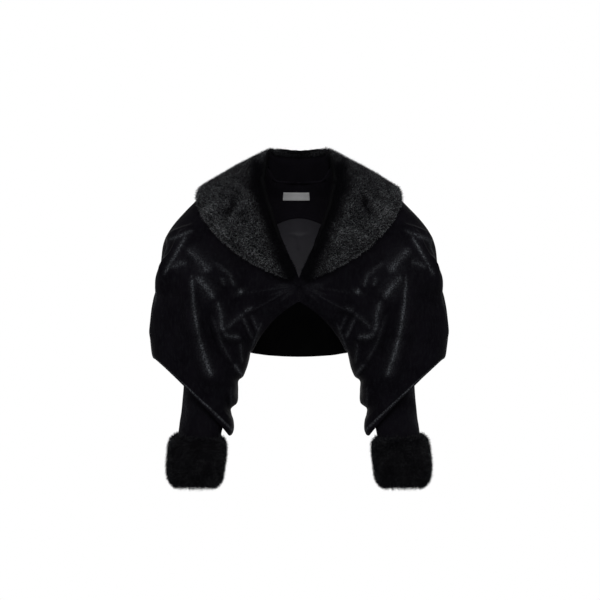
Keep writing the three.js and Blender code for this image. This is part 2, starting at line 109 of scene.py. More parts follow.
# %% Sleeve form
# columns: outer x and z, inner x and z, depth to the front and back, middle y, rise, squareness
SLEEVE_RINGS = [
    [150, 8, 100, -346, 106, 98, 0, 0, 1.15],
    [187, -11, 103, -360, 108, 100, 0, 0, 1.15],
    [221, -43, 107, -376, 110, 100, 0, 0, 1.1],
    [255, -80, 114, -392, 112, 100, 0, 0, 1],
    [277, -118, 125, -402, 112, 98, 0, 0, 0.9],
    [283, -160, 125, -422, 110, 96, 0, 2, 0.85],
    [288, -205, 126, -446, 106, 93, 0, 4, 0.8],
    [298, -250, 139, -458, 102, 90, 0, 7, 0.8],
    [304, -296, 138, -474, 96, 86, -2, 10, 0.8],
    [303, -328, 134, -488, 90, 82, -4, 14, 0.8],
    [299, -352, 134, -503, 82, 78, -6, 12, 0.8],
]
TURNED_UNDER_RINGS = [
    [293, -357, 139, -513, 76, 73, -7, 12, 0.82],
    [275, -356, 146, -509, 66, 62, -12, 10, 0.86],
    [250, -361, 148.5, -479, 54, 50, -10, 5, 0.92],
    [238, -366, 152, -446, 45, 44, -8, 0, 0.95],
]
INNER_SQUARENESS = 0.8
FRONT_COLUMNS = 138
UNDER_COLUMNS = 12
BACK_COLUMNS = 96
ROUND = FRONT_COLUMNS + UNDER_COLUMNS + BACK_COLUMNS
FRONT_ENDS, BACK_STARTS = 0.465 * 2 * math.pi, 0.52 * 2 * math.pi
SLEEVE_STEPS = 110
TURNED_STEPS = 18


def signed_power(value, power):
    return np.sign(value) * np.abs(value) ** power


def ring_points(rings, angles):
    """Points of rings, a row for each: angle 0 is the outer point and a quarter turn is the front"""
    table = np.asarray(rings).T[..., None]
    out_x, out_z, in_x, in_z, front, back, mid_y, rise, power = table
    inner = np.minimum(INNER_SQUARENESS, power)
    turn = power + (inner - power) * smooth(0.5 - np.cos(angles) / 2)
    across = signed_power(np.cos(angles), turn)
    deep = signed_power(np.sin(angles), turn)
    x = (out_x + in_x) / 2 + (out_x - in_x) / 2 * across
    y = mid_y - np.where(deep > 0, front, back) * deep
    z = (out_z + in_z) / 2 + (out_z - in_z) / 2 * across + rise * np.abs(deep)
    return np.stack([x, y, z], -1)


round_angles = np.concatenate(
    [
        np.linspace(0, FRONT_ENDS, FRONT_COLUMNS, endpoint=False),
        np.linspace(FRONT_ENDS, BACK_STARTS, UNDER_COLUMNS, endpoint=False),
        np.linspace(BACK_STARTS, 2 * math.pi, BACK_COLUMNS, endpoint=False),
    ]
)
seam_ring = len(SLEEVE_RINGS) - 1
ring_numbers = np.concatenate(
    [
        np.linspace(0, seam_ring, SLEEVE_STEPS + 1),
        np.linspace(seam_ring, seam_ring + len(TURNED_UNDER_RINGS), TURNED_STEPS + 1)[1:],
    ]
)
sleeve_form = ring_points(spline(SLEEVE_RINGS + TURNED_UNDER_RINGS, ring_numbers), round_angles)
armhole = sleeve_form[0].copy()
print("sleeve form, rings by points:", sleeve_form.shape[:2])

# %% [markdown]
# ## Front form
# Each front runs from the shoulder seam down to an arch, and from the neckline to the armhole. Lines
# from the neckline to the armhole rule the cloth, with the chest filled out and the arch bowed up.
# The photograph shows no armhole seam on the front, so the front and the sleeve are one cloth here,
# and the form is relaxed a little across the place where the two would meet.

# %% Front form
FRONT_EDGE = [
    [68, 0, 35],
    [69, -42, 4],
    [62, -72, -34],
    [47, -92, -80],
    [26, -107, -135],
    [0.15, -117, -192],
    [0.15, -120, -215],
    [0.15, -118, -239],
]
FRONT_STEPS = 72
ARCH_BOW = 14
CHEST_BULGE = 12
RELAX_ROUNDS = 44
RELAX_REACH = 17
# half of the gap between two seamed pieces
HALF_GAP = 0.15

t = np.linspace(0, 1, FRONT_STEPS + 1)[:, None, None]
share = np.linspace(0, 1, FRONT_COLUMNS + 1)
lower = smooth((share - 0.6) / 0.4)
front_form = spread(FRONT_EDGE, FRONT_COLUMNS)[None] * (1 - t) + armhole[None, : FRONT_COLUMNS + 1] * t
swell = np.sin(math.pi * t[..., 0])
front_form[..., 2] += ARCH_BOW * swell * lower
front_form[..., 1] -= CHEST_BULGE * swell * smooth(share * 2) * (1 + lower)
front_form[:, 0, 1] = -HALF_GAP

drape = np.concatenate([front_form, sleeve_form[1:, : FRONT_COLUMNS + 1]])
rows_from_armhole = np.arange(len(drape)) - FRONT_STEPS
column = np.arange(FRONT_COLUMNS + 1)
softness = np.exp(-((rows_from_armhole / RELAX_REACH) ** 2))[:, None]
softness = softness * smooth(column / 9) * smooth((FRONT_COLUMNS - column) / 20)
for _ in range(RELAX_ROUNDS):
    pull = (drape[:-2] + drape[2:]) / 2 - drape[1:-1]
    drape[1:-1] += softness[1:-1, :, None] * pull
front_form = drape[: FRONT_STEPS + 1]
sleeve_form[1:, : FRONT_COLUMNS + 1] = drape[FRONT_STEPS + 1 :]
print("front form, rows by columns:", front_form.shape[:2])

# %% [markdown]
# ## Folds
# Velvet held at the shoulder and the centre front falls in cowl folds: long crests with a steep side
# and a gentle one, that swell in their middle and die out at both ends. Cloth simulation would make
# other folds than the ones seen, so each fold is a short path with two widths and a height, read from
# the front. The back and the outer side of each sleeve have a few of their own, since the photograph
# doesn't show them. Black velvet shows a sheen only where its pile turns to the light, on the crests.
# That sheen is painted into the colour as lines drawn the same way, and every point of the cloth
# keeps how much painted sheen it has.

# %% Folds
# path of (x, z) points, width to the left of the path, width to its right, height, and then, where
# the crest carries a painted sheen line, the line's strength, its width at the path's start and its
# width at the end
FRONT_FOLDS = [
    ([(236, -112), (264, -196)], 24, 24, 8),
    ([(276, -130), (296, -196)], 24, 24, -8),
    ([(221, -190), (214, -290)], 26, 26, 6),
    ([(214, -290), (182, -396)], 28, 28, 6),
    ([(182, -270), (152, -370)], 28, 28, -7),
    ([(218, -132), (166, -196)], 24, 24, 6),
    ([(162, -246), (150, -300)], 22, 22, 6),
    ([(150, -302), (108, -314)], 20, 20, 5),
    ([(196, -236), (186, -300), (170, -352)], 19, 19, -6),
    ([(240, -230), (232, -320), (208, -396)], 18, 18, -3),
    ([(186, -186), (140, -236)], 12, 12, -4),
    ([(230, -108), (256, -152), (284, -206)], 5, 22, 7),
    ([(280, -114), (245, -102), (208, -84)], 14, 5, 5),
    ([(262, -166), (224, -152)], 9, 9, 3),
    ([(220, -166), (223, -215), (221, -242), (213, -287)], 9, 14, 9),
    ([(216, -262), (203, -328), (189, -379), (174, -408)], 10, 15, 11),
    ([(226, -124), (189, -166), (158, -206)], 12, 14, 7),
    ([(206, -184), (164, -238)], 7, 12, 7),
    ([(168, -236), (156, -297), (151, -306)], 9, 7, 8),
    ([(158, -304), (136, -311), (110, -313)], 9, 6, 6),
    ([(152, -294), (111, -262), (70, -246)], 7, 5, 4),
    ([(113, -260), (94, -250)], 5, 5, 2, (0.4, 2.0, 1.6)),
    ([(180, -262), (158, -328), (134, -368)], 6, 10, 4, (0.2, 2.4, 2.0)),
    ([(178, -152), (130, -190)], 5, 7, 4),
    ([(159, -188), (152, -208)], 4, 4, 3, (0.45, 2.4, 2.4)),
    ([(140, -188), (133, -208)], 4, 4, 3, (0.45, 2.4, 2.4)),
    ([(123, -212), (115, -226)], 6, 6, 3),
    ([(122, -172), (112, -178)], 5, 5, 2),
    ([(116, -270), (94, -318)], 4, 5, 4, (0.35, 1.6, 2.0)),
    ([(98, -266), (83, -300)], 4, 4, 3, (0.3, 1.6, 2.0)),
    ([(76, -280), (92, -322), (106, -360)], 5, 4, 4, (0.35, 1.8, 1.8)),
    ([(120, -322), (116, -366)], 4, 5, 3, (0.3, 1.8, 1.8)),
    ([(134, -366), (112, -396)], 5, 5, 4, (0.5, 2.4, 2.4)),
    ([(139, -412), (139, -464)], 5, 7, 3, (0.2, 2.0, 2.0)),
]
BACK_FOLDS = [
    ([(190, -110), (236, -210)], 28, 28, 6),
    ([(236, -210), (214, -350)], 28, 28, 8),
    ([(192, -240), (168, -370)], 26, 26, -7),
    ([(150, -230), (184, -330)], 26, 26, 5),
    ([(272, -140), (290, -240)], 26, 26, -6),
    ([(226, -120), (238, -230), (216, -390)], 9, 16, 7, (0.8, 2.0, 3.0)),
    ([(200, -130), (176, -260), (160, -380)], 8, 14, 5, (0.6, 3.0, 2.4)),
    ([(150, -90), (120, -190), (116, -300)], 10, 14, 3, (0.3, 5.0, 3.0)),
    ([(180, -320), (150, -420)], 6, 10, 4, (0.5, 2.2, 2.2)),
]
# the outer side of a sleeve, as seen from its side: the paths are (y, z) points
SIDE_FOLDS = [
    ([(-44, -40), (-66, -150), (-62, -262)], 10, 20, 6, (0.5, 1.8, 3.0)),
    ([(-78, -120), (-84, -230)], 8, 14, 4),
    ([(44, -30), (62, -140), (54, -270)], 18, 11, 6, (0.5, 3.0, 2.0)),
    ([(80, -90), (84, -210), (66, -300)], 12, 10, 5, (0.35, 1.8, 2.4)),
    ([(-30, -210), (-44, -320)], 9, 14, 3, (0.25, 2.0, 3.0)),
    ([(26, -190), (40, -310)], 14, 9, 3),
]
# painted sheen lines beside the crests, on the plane through the wearer's middle as the camera sees it:
# path, strength, width at the path's start and at its end
FRONT_PAINTED_SHEEN = [
    ([(229, -100), (252, -140), (279, -188)], 0.9, 1.6, 1.4),
    ([(272, -114), (244, -104), (214, -92)], 0.55, 2.2, 2.0),
    ([(264, -170), (248, -162), (228, -158)], 0.35, 3, 5),
    ([(220, -180), (217, -237), (211, -280), (203, -322)], 0.9, 1.6, 2.4),
    ([(207, -306), (193, -355), (178, -397)], 0.85, 2.8, 3.2),
    ([(230, -130), (206, -152), (182, -180)], 0.55, 4.5, 7.5),
    ([(212, -186), (194, -206), (172, -234)], 0.75, 5, 5),
    ([(168, -236), (160, -262), (158, -290), (152, -304)], 0.7, 2.4, 3.6),
    ([(157, -306), (140, -311), (118, -312)], 0.6, 3, 2.0),
    ([(150, -296), (130, -276), (110, -262)], 0.35, 2.5, 2),
    ([(176, -156), (132, -192)], 0.3, 3, 3),
    ([(123, -214), (117, -224)], 0.8, 3.4, 3.4),
]
# how fast a fold or a painted sheen line sets in from the ends of its path, and how much of it is there
# at once
FOLD_ENDS = (4.0, 0.15)
SHEEN_ENDS = (5.0, 0.1)
LONG_FOLD_WIDTH = 18
# a painted sheen line has a soft halo: its share of the line, and how much wider it is
HALO, HALO_WIDER = 0.2, 3.4


def near_path(path, x, z):
    """How far places are from a path, how far along it, and whether to its left"""
    path = np.array(path, float)
    lengths = np.linalg.norm(np.diff(path, axis=0), axis=1)
    along = np.concatenate([[0], np.cumsum(lengths)]) / lengths.sum()
    nearest = np.full_like(x, 1e9)
    place, side = np.zeros_like(x), np.zeros_like(x)
    for k, length in enumerate(lengths):
        step = (path[k + 1] - path[k]) / length
        from_x, from_z = x - path[k, 0], z - path[k, 1]
        reach = np.clip(from_x * step[0] + from_z * step[1], 0, length)
        off_x, off_z = from_x - reach * step[0], from_z - reach * step[1]
        away = np.hypot(off_x, off_z)
        closer = away < nearest
        nearest = np.where(closer, away, nearest)
        place = np.where(closer, along[k] + reach / length * (along[k + 1] - along[k]), place)
        side = np.where(closer, step[0] * off_z - step[1] * off_x, side)
    return nearest, place, side > 0


def dies_out(place, pace, at_once):
    """1 along the middle of a path and less towards both of its ends"""
    return smooth(place * pace + at_once) * smooth((1 - place) * pace + at_once)


def fold_heights(folds, x, z):
    """Height of the folds at places on the plane of their paths; wide folds run on past their ends"""
    total = np.zeros_like(x)
    for path, left, right, height, *_ in folds:
        nearest, place, on_left = near_path(path, x, z)
        width = np.where(on_left, left, right)
        ends = dies_out(place, *FOLD_ENDS) if max(left, right) < LONG_FOLD_WIDTH else 1.0
        total += height * ends * np.exp(-((nearest / width) ** 2))
    return total


def painted_sheen_paths(folds):
    """Painted sheen lines along the paths of those folds that name one"""
    return [(fold[0], *fold[4]) for fold in folds if len(fold) > 4]


def painted_sheen(lines, x, z):
    """How much painted sheen the cloth has along its crests, from 0 to 1"""
    most = np.zeros_like(x)
    for path, strength, first_width, last_width in lines:
        nearest, place, _ = near_path(path, x, z)
        width = first_width + (last_width - first_width) * place
        core, halo = np.exp(-((nearest / width) ** 2)), np.exp(-((nearest / width / HALO_WIDER) ** 2))
        line = (1 - HALO) * core + HALO * halo
        most = np.maximum(most, strength * dies_out(place, *SHEEN_ENDS) * line)
    return most


FRONT_PAINTED_SHEEN += painted_sheen_paths(FRONT_FOLDS)
BACK_PAINTED_SHEEN = painted_sheen_paths(BACK_FOLDS)
SIDE_PAINTED_SHEEN = painted_sheen_paths(SIDE_FOLDS)
print("folds of the front, back and side:", len(FRONT_FOLDS), len(BACK_FOLDS), len(SIDE_FOLDS))
print("silky lines of each:", len(FRONT_PAINTED_SHEEN), len(BACK_PAINTED_SHEEN), len(SIDE_PAINTED_SHEEN))


# %% [markdown]
# ## Gathers
# The fronts are drawn together behind the hidden fastening, so fine gathers fan out from it like the
# ribs of a shell. Each is a narrow crest at its own angle, that bends a little and widens as it goes.

# %% Gathers
FASTENING = (0, -209)
# strength of the painted sheen on the gathers' ribs
GATHER_SHEEN = 0.1
# angle below level in degrees, length, height, width at the fastening
GATHERS = [
    [-20, 34, 1.2, 1.4],
    [-14, 46, 1.4, 1.3],
    [-9, 84, 1.3, 1.6],
    [-3, 60, 1.6, 1.3],
    [2, 160, 1.8, 1.4],
    [7, 52, 1.5, 1.3],
    [12, 88, 1.5, 1.5],
    [17, 62, 1.6, 1.4],
    [22, 150, 1.9, 1.5],
    [29, 56, 1.4, 1.4],
    [35, 74, 1.5, 1.5],
    [43, 40, 1.2, 1.4],
]


def gather_heights(x, z):
    """Height of the gathers round the fastening on the wearer's left front"""
    out, down = x - FASTENING[0], FASTENING[1] - z
    radius = np.hypot(out, down)
    angle = np.degrees(np.arctan2(down, np.maximum(out, 0.01)))
    total = np.zeros_like(x)
    for centre, length, height, width in GATHERS:
        bend = centre + 5 * np.sin(radius / length * 2.4)
        off = np.radians(angle - bend) * np.maximum(radius, 9)
        spreading = width * (1 + radius / length)
        fade = smooth(radius / 9) * (1 - smooth((radius - length * 0.35) / (length * 0.75)))
        total += height * fade * np.exp(-((off / spreading) ** 2))
    return total


print("gathers on each side of the fastening:", len(GATHERS))

# %% [markdown]
# ## Cloth from a form
# A cloth piece is a sheet of quads that faces outwards, with its folds pushed out along its own
# normals, so that a fold stands off the body whichever way the cloth faces. Solidify then gives it
# the thickness of the velvet and a lining on its inner side, which the eye meets through the arch.

# %% Cloth from a form
MM = 0.001
VELVET_THICK = 2.0


def quads(numbers, closed=False):
    """Faces between neighbouring rows and columns of point numbers, facing away from the wearer"""
    if closed:
        numbers = np.hstack([numbers, numbers[:, :1]])
    corners = [numbers[:-1, :-1], numbers[:-1, 1:], numbers[1:, 1:], numbers[1:, :-1]]
    return np.stack(corners, -1).reshape(-1, 4)


def mirrored(points, faces):
    """The wearer's right piece from the left one: x changes sign, so each face is turned round"""
    return points * (-1, 1, 1), faces[:, ::-1]


def make_mesh(name, points, faces):
    """A smooth-shaded mesh object from points in millimetres"""
    mesh = bpy.data.meshes.new(name)
    mesh.from_pydata((np.asarray(points) * MM).tolist(), [], np.asarray(faces).tolist())
    mesh.shade_smooth()
    piece = bpy.data.objects.new(name, mesh)
    bpy.context.collection.objects.link(piece)
    return piece


def get_points(piece):
    flat = np.empty(len(piece.data.vertices) * 3)
    piece.data.vertices.foreach_get("co", flat)
    return flat.reshape(-1, 3) / MM


def set_points(piece, points):
    piece.data.vertices.foreach_set("co", (np.asarray(points) * MM).ravel())
    piece.data.update()


def get_normals(piece):
    flat = np.empty(len(piece.data.vertices) * 3)
    piece.data.vertex_normals.foreach_get("vector", flat)
    return flat.reshape(-1, 3)


def keep_on_points(piece, name, values):
    """Stores a number or a direction on each point of a piece"""
    kind = "FLOAT_VECTOR" if values.ndim == 2 else "FLOAT"
    attribute = piece.data.attributes.new(name, kind, "POINT")
    attribute.data.foreach_set("vector" if values.ndim == 2 else "value", values.ravel())


def thicken(piece, thickness):
    """Gives a sheet its thickness, inwards, with the second material on its inner side"""
    solidify = piece.modifiers.new("thickness", "SOLIDIFY")
    solidify.thickness = thickness * MM
    solidify.offset = -1
    solidify.material_offset = 1
    plain_mesh(piece)


def plain_mesh(piece):
    """Applies all modifiers of a piece to its mesh"""
    bpy.context.view_layer.update()
    graph = bpy.context.evaluated_depsgraph_get()
    result = bpy.data.meshes.new_from_object(piece.evaluated_get(graph))
    result.name = piece.name
    piece.modifiers.clear()
    piece.data = result


# %% [markdown]
# ## Velvet drapes, fronts and sleeves
# Points on the armhole are shared by the front and the sleeve, so the cloth runs on without a break.
# Folds fade at the armhole's back half, where the sleeve is sewn to the back along a plain seam, and
# on the lower edge that is turned under. Slow waves of under a millimetre keep the rest from being
# as smooth as plastic. A line of painted sheen also runs along the turned edge, where the cloth bends
# sharply.

# %% Velvet drapes, fronts and sleeves
SEAM_GAP = 0.3
SEAM_FADE = 12
EDGE_FADE = 26
# strength of the painted sheen along the turned-under edge
TURNED_EDGE_SHEEN = 0.7
WAVE_HEIGHT, WAVE_SIZE = 0.8, 46
SIDE_STARTS = 200
rows, columns = front_form.shape[:2]
front_numbers = np.arange(rows * columns).reshape(rows, columns)
free_points = ROUND - columns
sleeve_numbers = np.empty(sleeve_form.shape[:2], int)
sleeve_numbers[0, :columns] = front_numbers[-1]
sleeve_numbers[0, columns:] = front_numbers.size + np.arange(free_points)
next_number = front_numbers.size + free_points
sleeve_numbers[1:] = next_number + np.arange((len(sleeve_form) - 1) * ROUND).reshape(-1, ROUND)

armhole_out = np.array([354.0, 0, -50.0])
armhole_out = armhole_out / np.linalg.norm(armhole_out)
rim = sleeve_form[0, columns:] + armhole_out * SEAM_GAP
drape_points = np.concatenate([front_form.reshape(-1, 3), rim, sleeve_form[1:].reshape(-1, 3)])
drape_faces = np.concatenate([quads(front_numbers), quads(sleeve_numbers, closed=True)])

# 1 where the cloth is free to fold, and 0 at the back seam, on the turned edge and at the front edge
seam_free = np.ones(len(drape_points))
for row, free in enumerate(smooth(np.arange(SEAM_FADE) / SEAM_FADE)):
    seam_free[sleeve_numbers[row, columns:]] = free
turned_rows = np.arange(len(sleeve_form)) - SLEEVE_STEPS
for row, free in enumerate(1 - smooth(turned_rows / 6)):
    seam_free[sleeve_numbers[row]] *= free
turned_edge = np.exp(-(((turned_rows - 0.5) / 0.9) ** 2))
edge_facing = smooth(np.sin(round_angles) * 2 + 0.6)
edge_free = np.ones(len(drape_points))
edge_free[front_numbers] = smooth(np.arange(rows) / EDGE_FADE)[:, None]


def uneven(points, size, seed):
    """Slow waves over a surface, from -1 to 1, that no two places share"""
    turns = np.random.default_rng(seed)
    total = np.zeros(len(points))
    for _ in range(6):
        direction = turns.normal(size=3)
        direction /= np.linalg.norm(direction)
        total += np.sin(points @ direction / size * 2 * math.pi + turns.uniform(0, 6.28))
    return total / 6


def seen(points):
    """Where points appear from the camera, in millimetres on the plane through the wearer's middle"""
    nearer = distance / (distance + points[:, 1] * MM)
    return np.abs(points[:, 0]) * nearer, AIM[2] / MM + (points[:, 2] - AIM[2] / MM) * nearer


def facings(points, normals):
    """How much the cloth faces the front, the back and its sleeve's outer side, each from 0 to 1"""
    outwards = normals[:, 0] * np.sign(points[:, 0])
    outer = smooth((np.abs(points[:, 0]) - SIDE_STARTS) / 40)
    to_front, to_back = (smooth(sign * normals[:, 1] * 2.2 + 0.1) for sign in (-1, 1))
    return to_front, to_back, smooth(outwards * 2.5 - 1.2) * outer


def crease(piece, seed):
    """Pushes the folds and gathers out along the cloth's normals, and keeps how much painted sheen it
    has
    """
    points, normals = get_points(piece), get_normals(piece)
    x, y, z = np.abs(points[:, 0]), points[:, 1], points[:, 2]
    to_front, to_back, to_side = facings(points, normals)
    heights = to_front * fold_heights(FRONT_FOLDS, x, z) * edge_free
    heights += to_back * fold_heights(BACK_FOLDS, x, z)
    heights += to_side * fold_heights(SIDE_FOLDS, y, z)
    heights += WAVE_HEIGHT * uneven(points, WAVE_SIZE, seed) * edge_free
    heights *= seam_free
    gathers = gather_heights(x, z)
    heights[front_numbers] += gathers[front_numbers]
    moved = points + normals * heights[:, None]
    near_edge = front_numbers[0]
    moved[near_edge, 0] = np.where(x[near_edge] < 1, points[near_edge, 0], moved[near_edge, 0])
    side = np.sign(points[:, 0])
    moved[:, 0] = side * np.maximum(side * moved[:, 0], HALF_GAP)
    set_points(piece, moved)

    # painted sheen along the fold crests, as seen from the front, the back and the side
    silk = np.maximum(to_front * painted_sheen(FRONT_PAINTED_SHEEN, *seen(moved)), to_back * painted_sheen(BACK_PAINTED_SHEEN, x, z))
    silk = np.maximum(silk, to_side * painted_sheen(SIDE_PAINTED_SHEEN, y, z))
    # painted sheen on the gathers' ribs, fading in away from the fastening
    from_fastening = np.hypot(x - FASTENING[0], z - FASTENING[1])
    ribs = GATHER_SHEEN * smooth(gathers - 0.5) * smooth(from_fastening / 64 + 0.1)
    silk[front_numbers] = np.maximum(silk[front_numbers], ribs[front_numbers])
    # painted sheen along the turned-under edge, strongest where it faces the front
    for numbers, strength in zip(sleeve_numbers, turned_edge):
        silk[numbers] = np.maximum(silk[numbers], TURNED_EDGE_SHEEN * strength * edge_facing)
    keep_on_points(piece, "silk", silk)


drapes = []
drape_shapes = {"left": (drape_points, drape_faces), "right": mirrored(drape_points, drape_faces)}
for name, shape in drape_shapes.items():
    piece = make_mesh("drape_" + name, *shape)
    crease(piece, seed=3 if name == "left" else 8)
    drapes.append(piece)
print("velvet drape, points:", len(drape_points))

# %% [markdown]
# ## Velvet back
# The back is one cloth from neck to hem. A curve runs round the body at each height through the
# centre line, a line below each shoulder blade and the armhole, which the sleeve's rim follows.
# The neck edge is scooped beside the centre, so that it runs level there and turns up at the sides.

# %% Velvet back
BACK_CENTRE = [
    [0, 104, -356],
    [0, 104, -290],
    [0, 106, -220],
    [0, 108, -150],
    [0, 100, -80],
    [0, 82, -28],
    [0, 59, 9],
]
BACK_SIDE = [
    [64, 98, -353],
    [68, 100, -288],
    [74, 104, -214],
    [78, 104, -138],
    [76, 90, -84],
    [72, 54, -22],
    [68, 0, 35],
]
BACK_SIDE_AT = 0.45
NECK_LEVEL, SHOULDER_LEVEL = 9.0, 35.0
ALONG_THE_BACK = (0, 0.55, -1)
BACK_ACROSS = 100
# how high the back's folds are, compared with the same folds on the sleeves, and its waves' size
BACK_FOLD_HEIGHT, BACK_WAVE_SIZE = 0.5, 60


def unscooped(t, share):
    """Points of the back before the neck edge is scooped"""
    t, share = np.asarray(t, float), np.asarray(share, float)
    centre = spline(BACK_CENTRE, share * (len(BACK_CENTRE) - 1))
    flank = spline(BACK_SIDE, share * (len(BACK_SIDE) - 1))
    closed_armhole = np.vstack([armhole, armhole[:1]])
    hole = spline(closed_armhole, ROUND - (1 - share) * BACK_COLUMNS)
    lines = np.stack([flank * (-1, 1, 1), centre, flank, hole])
    reach = np.abs(t)
    outer = 1 + (reach - BACK_SIDE_AT) / (1 - BACK_SIDE_AT)
    at = np.where(reach <= BACK_SIDE_AT, reach / BACK_SIDE_AT, outer)
    curve = spline(lines, 1 + at)
    past = np.clip(at - 1, 0, 1)[:, None, None]
    straight = np.where(at[:, None, None] <= 1, curve, flank * (1 - past) + hole * past)
    shoulder = smooth((share - 0.8) / 0.2)[None, :, None]
    points = curve * (1 - shoulder) + straight * shoulder
    points[..., 0] *= np.where(t < 0, -1, 1)[:, None]
    return points


def back_points(t, share):
    """Points of the back: t from -1, the wearer's right armhole, to 1, and share from hem to neck"""
    points = unscooped(t, share)
    edge = unscooped(t, [1.0])[:, 0]
    level = NECK_LEVEL + (SHOULDER_LEVEL - NECK_LEVEL) * smooth((np.abs(edge[:, 0]) - 46) / 22)
    drop = np.maximum(edge[:, 2] - level, 0)[:, None] * smooth((np.asarray(share) - 0.8) / 0.2)[None]
    return points + drop[..., None] * ALONG_THE_BACK


def grid_piece(name, grid):
    """A sheet from a grid of points"""
    numbers = np.arange(grid.shape[0] * grid.shape[1]).reshape(grid.shape[:2])
    return make_mesh(name, grid.reshape(-1, 3), quads(numbers))


across = np.linspace(-1, 1, BACK_ACROSS + 1)
up = np.linspace(0, 1, BACK_COLUMNS + 1)
back_form = back_points(across, up)
on_shoulder = np.abs(back_form[:, -1, 0]) > 67
back_form[on_shoulder, -1, 1] = HALF_GAP
back = grid_piece("velvet_back", back_form)
points, normals = get_points(back), get_normals(back)
inside_seams = smooth((1 - np.abs(across)) * 5)[:, None] * smooth((1 - up) * 6)[None]
x, z = np.abs(points[:, 0]), points[:, 2]
heights = fold_heights(BACK_FOLDS, x, z) * BACK_FOLD_HEIGHT + uneven(points, BACK_WAVE_SIZE, 5)
# painted sheen along the back's fold crests, fading towards its seams
keep_on_points(back, "silk", painted_sheen(BACK_PAINTED_SHEEN, x, z) * inside_seams.ravel())
set_points(back, points + normals * (heights * inside_seams.ravel())[:, None])
print("velvet back, rows by columns:", back_form.shape[:2])

# %% [markdown]
# ## Close forearms
# Below the drape the sleeve is a close tube to the wrist. It starts inside the turned-under edge, at
# the seam that joins them, and ends at the wrist hem inside the cuff. Small wrinkles run across its
# upper half, and a faint painted sheen lies along its outer front.

# %% Close forearms
FOREARM_RINGS = [
    [237.4, -366, 152.6, -446, 44.4, 43.4, -8, 0, 0.95],
    [235, -394, 152, -462, 45, 44, -12, 0, 0.95],
    [237, -436, 153, -476, 44, 43, -19, 0, 0.95],
    [241, -474, 155, -492, 42, 41, -26, 0, 0.95],
    [245, -506, 159, -514, 41, 40, -32, 0, 0.95],
    [248, -544, 164, -547, 39, 38, -38, 0, 0.95],
    [249, -600, 167, -600, 38, 37, -45, 0, 0.95],
]
FOREARM_STEPS = 60
FOREARM_ROUND = 72
WRINKLE_HEIGHT, WRINKLE_SIZE, WRINKLE_SHAPE = 0.7, 70, (1, 1, 2.2)
WRINKLES_END = 0.62
# strength of the painted sheen along the forearm's outer front
FOREARM_SHEEN = 0.22
forearm_angles = np.arange(FOREARM_ROUND) / FOREARM_ROUND * 2 * math.pi


def tube_piece(name, grid, side):
    """A closed tube from a grid of rings"""
    numbers = np.arange(grid.shape[0] * grid.shape[1]).reshape(grid.shape[:2])
    shape = (grid.reshape(-1, 3), quads(numbers, closed=True))
    return make_mesh(name + "_" + side, *(shape if side == "left" else mirrored(*shape)))


forearm_form = ring_points(spread(FOREARM_RINGS, FOREARM_STEPS), forearm_angles)
forearms = []
for side in ("left", "right"):
    piece = tube_piece("forearm_velvet", forearm_form, side)
    points, normals = get_points(piece), get_normals(piece)
    along = np.repeat(np.linspace(0, 1, FOREARM_STEPS + 1), FOREARM_ROUND)
    wrinkle = WRINKLE_HEIGHT * uneven(points * WRINKLE_SHAPE, WRINKLE_SIZE, 11)
    wrinkle *= smooth(along * 6) * smooth((WRINKLES_END - along) * 8)
    set_points(piece, points + normals * wrinkle[:, None])
    # a faint painted sheen along the outer front, broken up by slow waves
    outer = np.tile(np.exp(-(((forearm_angles - 0.5) / 0.35) ** 2)), FOREARM_STEPS + 1)
    keep_on_points(piece, "silk", FOREARM_SHEEN * outer * smooth(uneven(points, 40, 12) + 0.7))
    forearms.append(piece)
print("forearm form:", forearm_form.shape[:2])

# %% [markdown]
# ## Fur collar and cuffs, the skins
# The collar is fur on its fall and roll, and plain cloth on the inner side of its stand, which a
# wearer's neck touches. Fake fur is a knitted backing with a dense pile. The backing is a sheet of
# its own, sunk below the pile's tips by the pile's depth. Each point also keeps the way the pile is
# combed: over the roll of the collar and down to its outer edge, and down round a cuff. Each point
# keeps painted light and shade for the fur too: dark beside the neck, lighter past the roll.

# %% Fur collar and cuffs, the skins
# seam at the neck, roll, middle of the fall and outer edge, from the centre front to the centre back
COLLAR_STATIONS = [
    [5, -125.4, -186, 2, -134, -187, 6, -138, -191, 12, -136, -197],
    [33, -115.4, -129, 29, -127, -129, 48, -139, -150, 67, -138, -178],
    [52, -101.6, -77, 48, -116, -73, 86, -132, -108, 118, -129, -154],
    [64, -82, -40, 61, -97, -38, 112, -115, -64, 165, -116, -118],
    [69, -55, -1, 70, -68, 6, 124, -84, -14, 201, -88, -79],
    [66, -22, 31.5, 68, -28, 50, 130, -42, 26, 215, -46, -33],
    [61, 6, 42, 62, 8, 74, 132, 6, 40, 215, 6, -8],
    [52, 41, 9.2, 50, 40, 81, 120, 56, 26, 209, 56, -30],
    [28, 55, 9.8, 28, 60, 80, 66, 92, 10, 132, 108, -76],
    [0, 58, 10.3, 0, 67, 78, 0, 104, 6, 0, 124, -92],
]
COLLAR_STEPS = 90
COLLAR_ACROSS = 44
PILE_DEPTH = 6.0
PELT_THICK = 4.0
# where the pelt starts and ends in the table: at the tip, at the neck and at the outer edge
TIP_INSET, NECK_INSET, EDGE_INSET = 0.12, -0.06, 0.16
# the shoulder's corner of the outer edge reaches a little further
CORNER_STATION, CORNER_REACH = 5.1, 0.03
# the stand starts this share of the way from the tip to the centre back, and from this station on
# its lower edge stays inside the back's neck edge
STAND_FROM = 0.62
BACK_NECK_STATION = 7
STAND_INSIDE = 3.0
# uneven height of the pile: height and size of the waves, seed
UNEVEN_PILE = [(1.3, 38, 21), (0.8, 17, 22)]
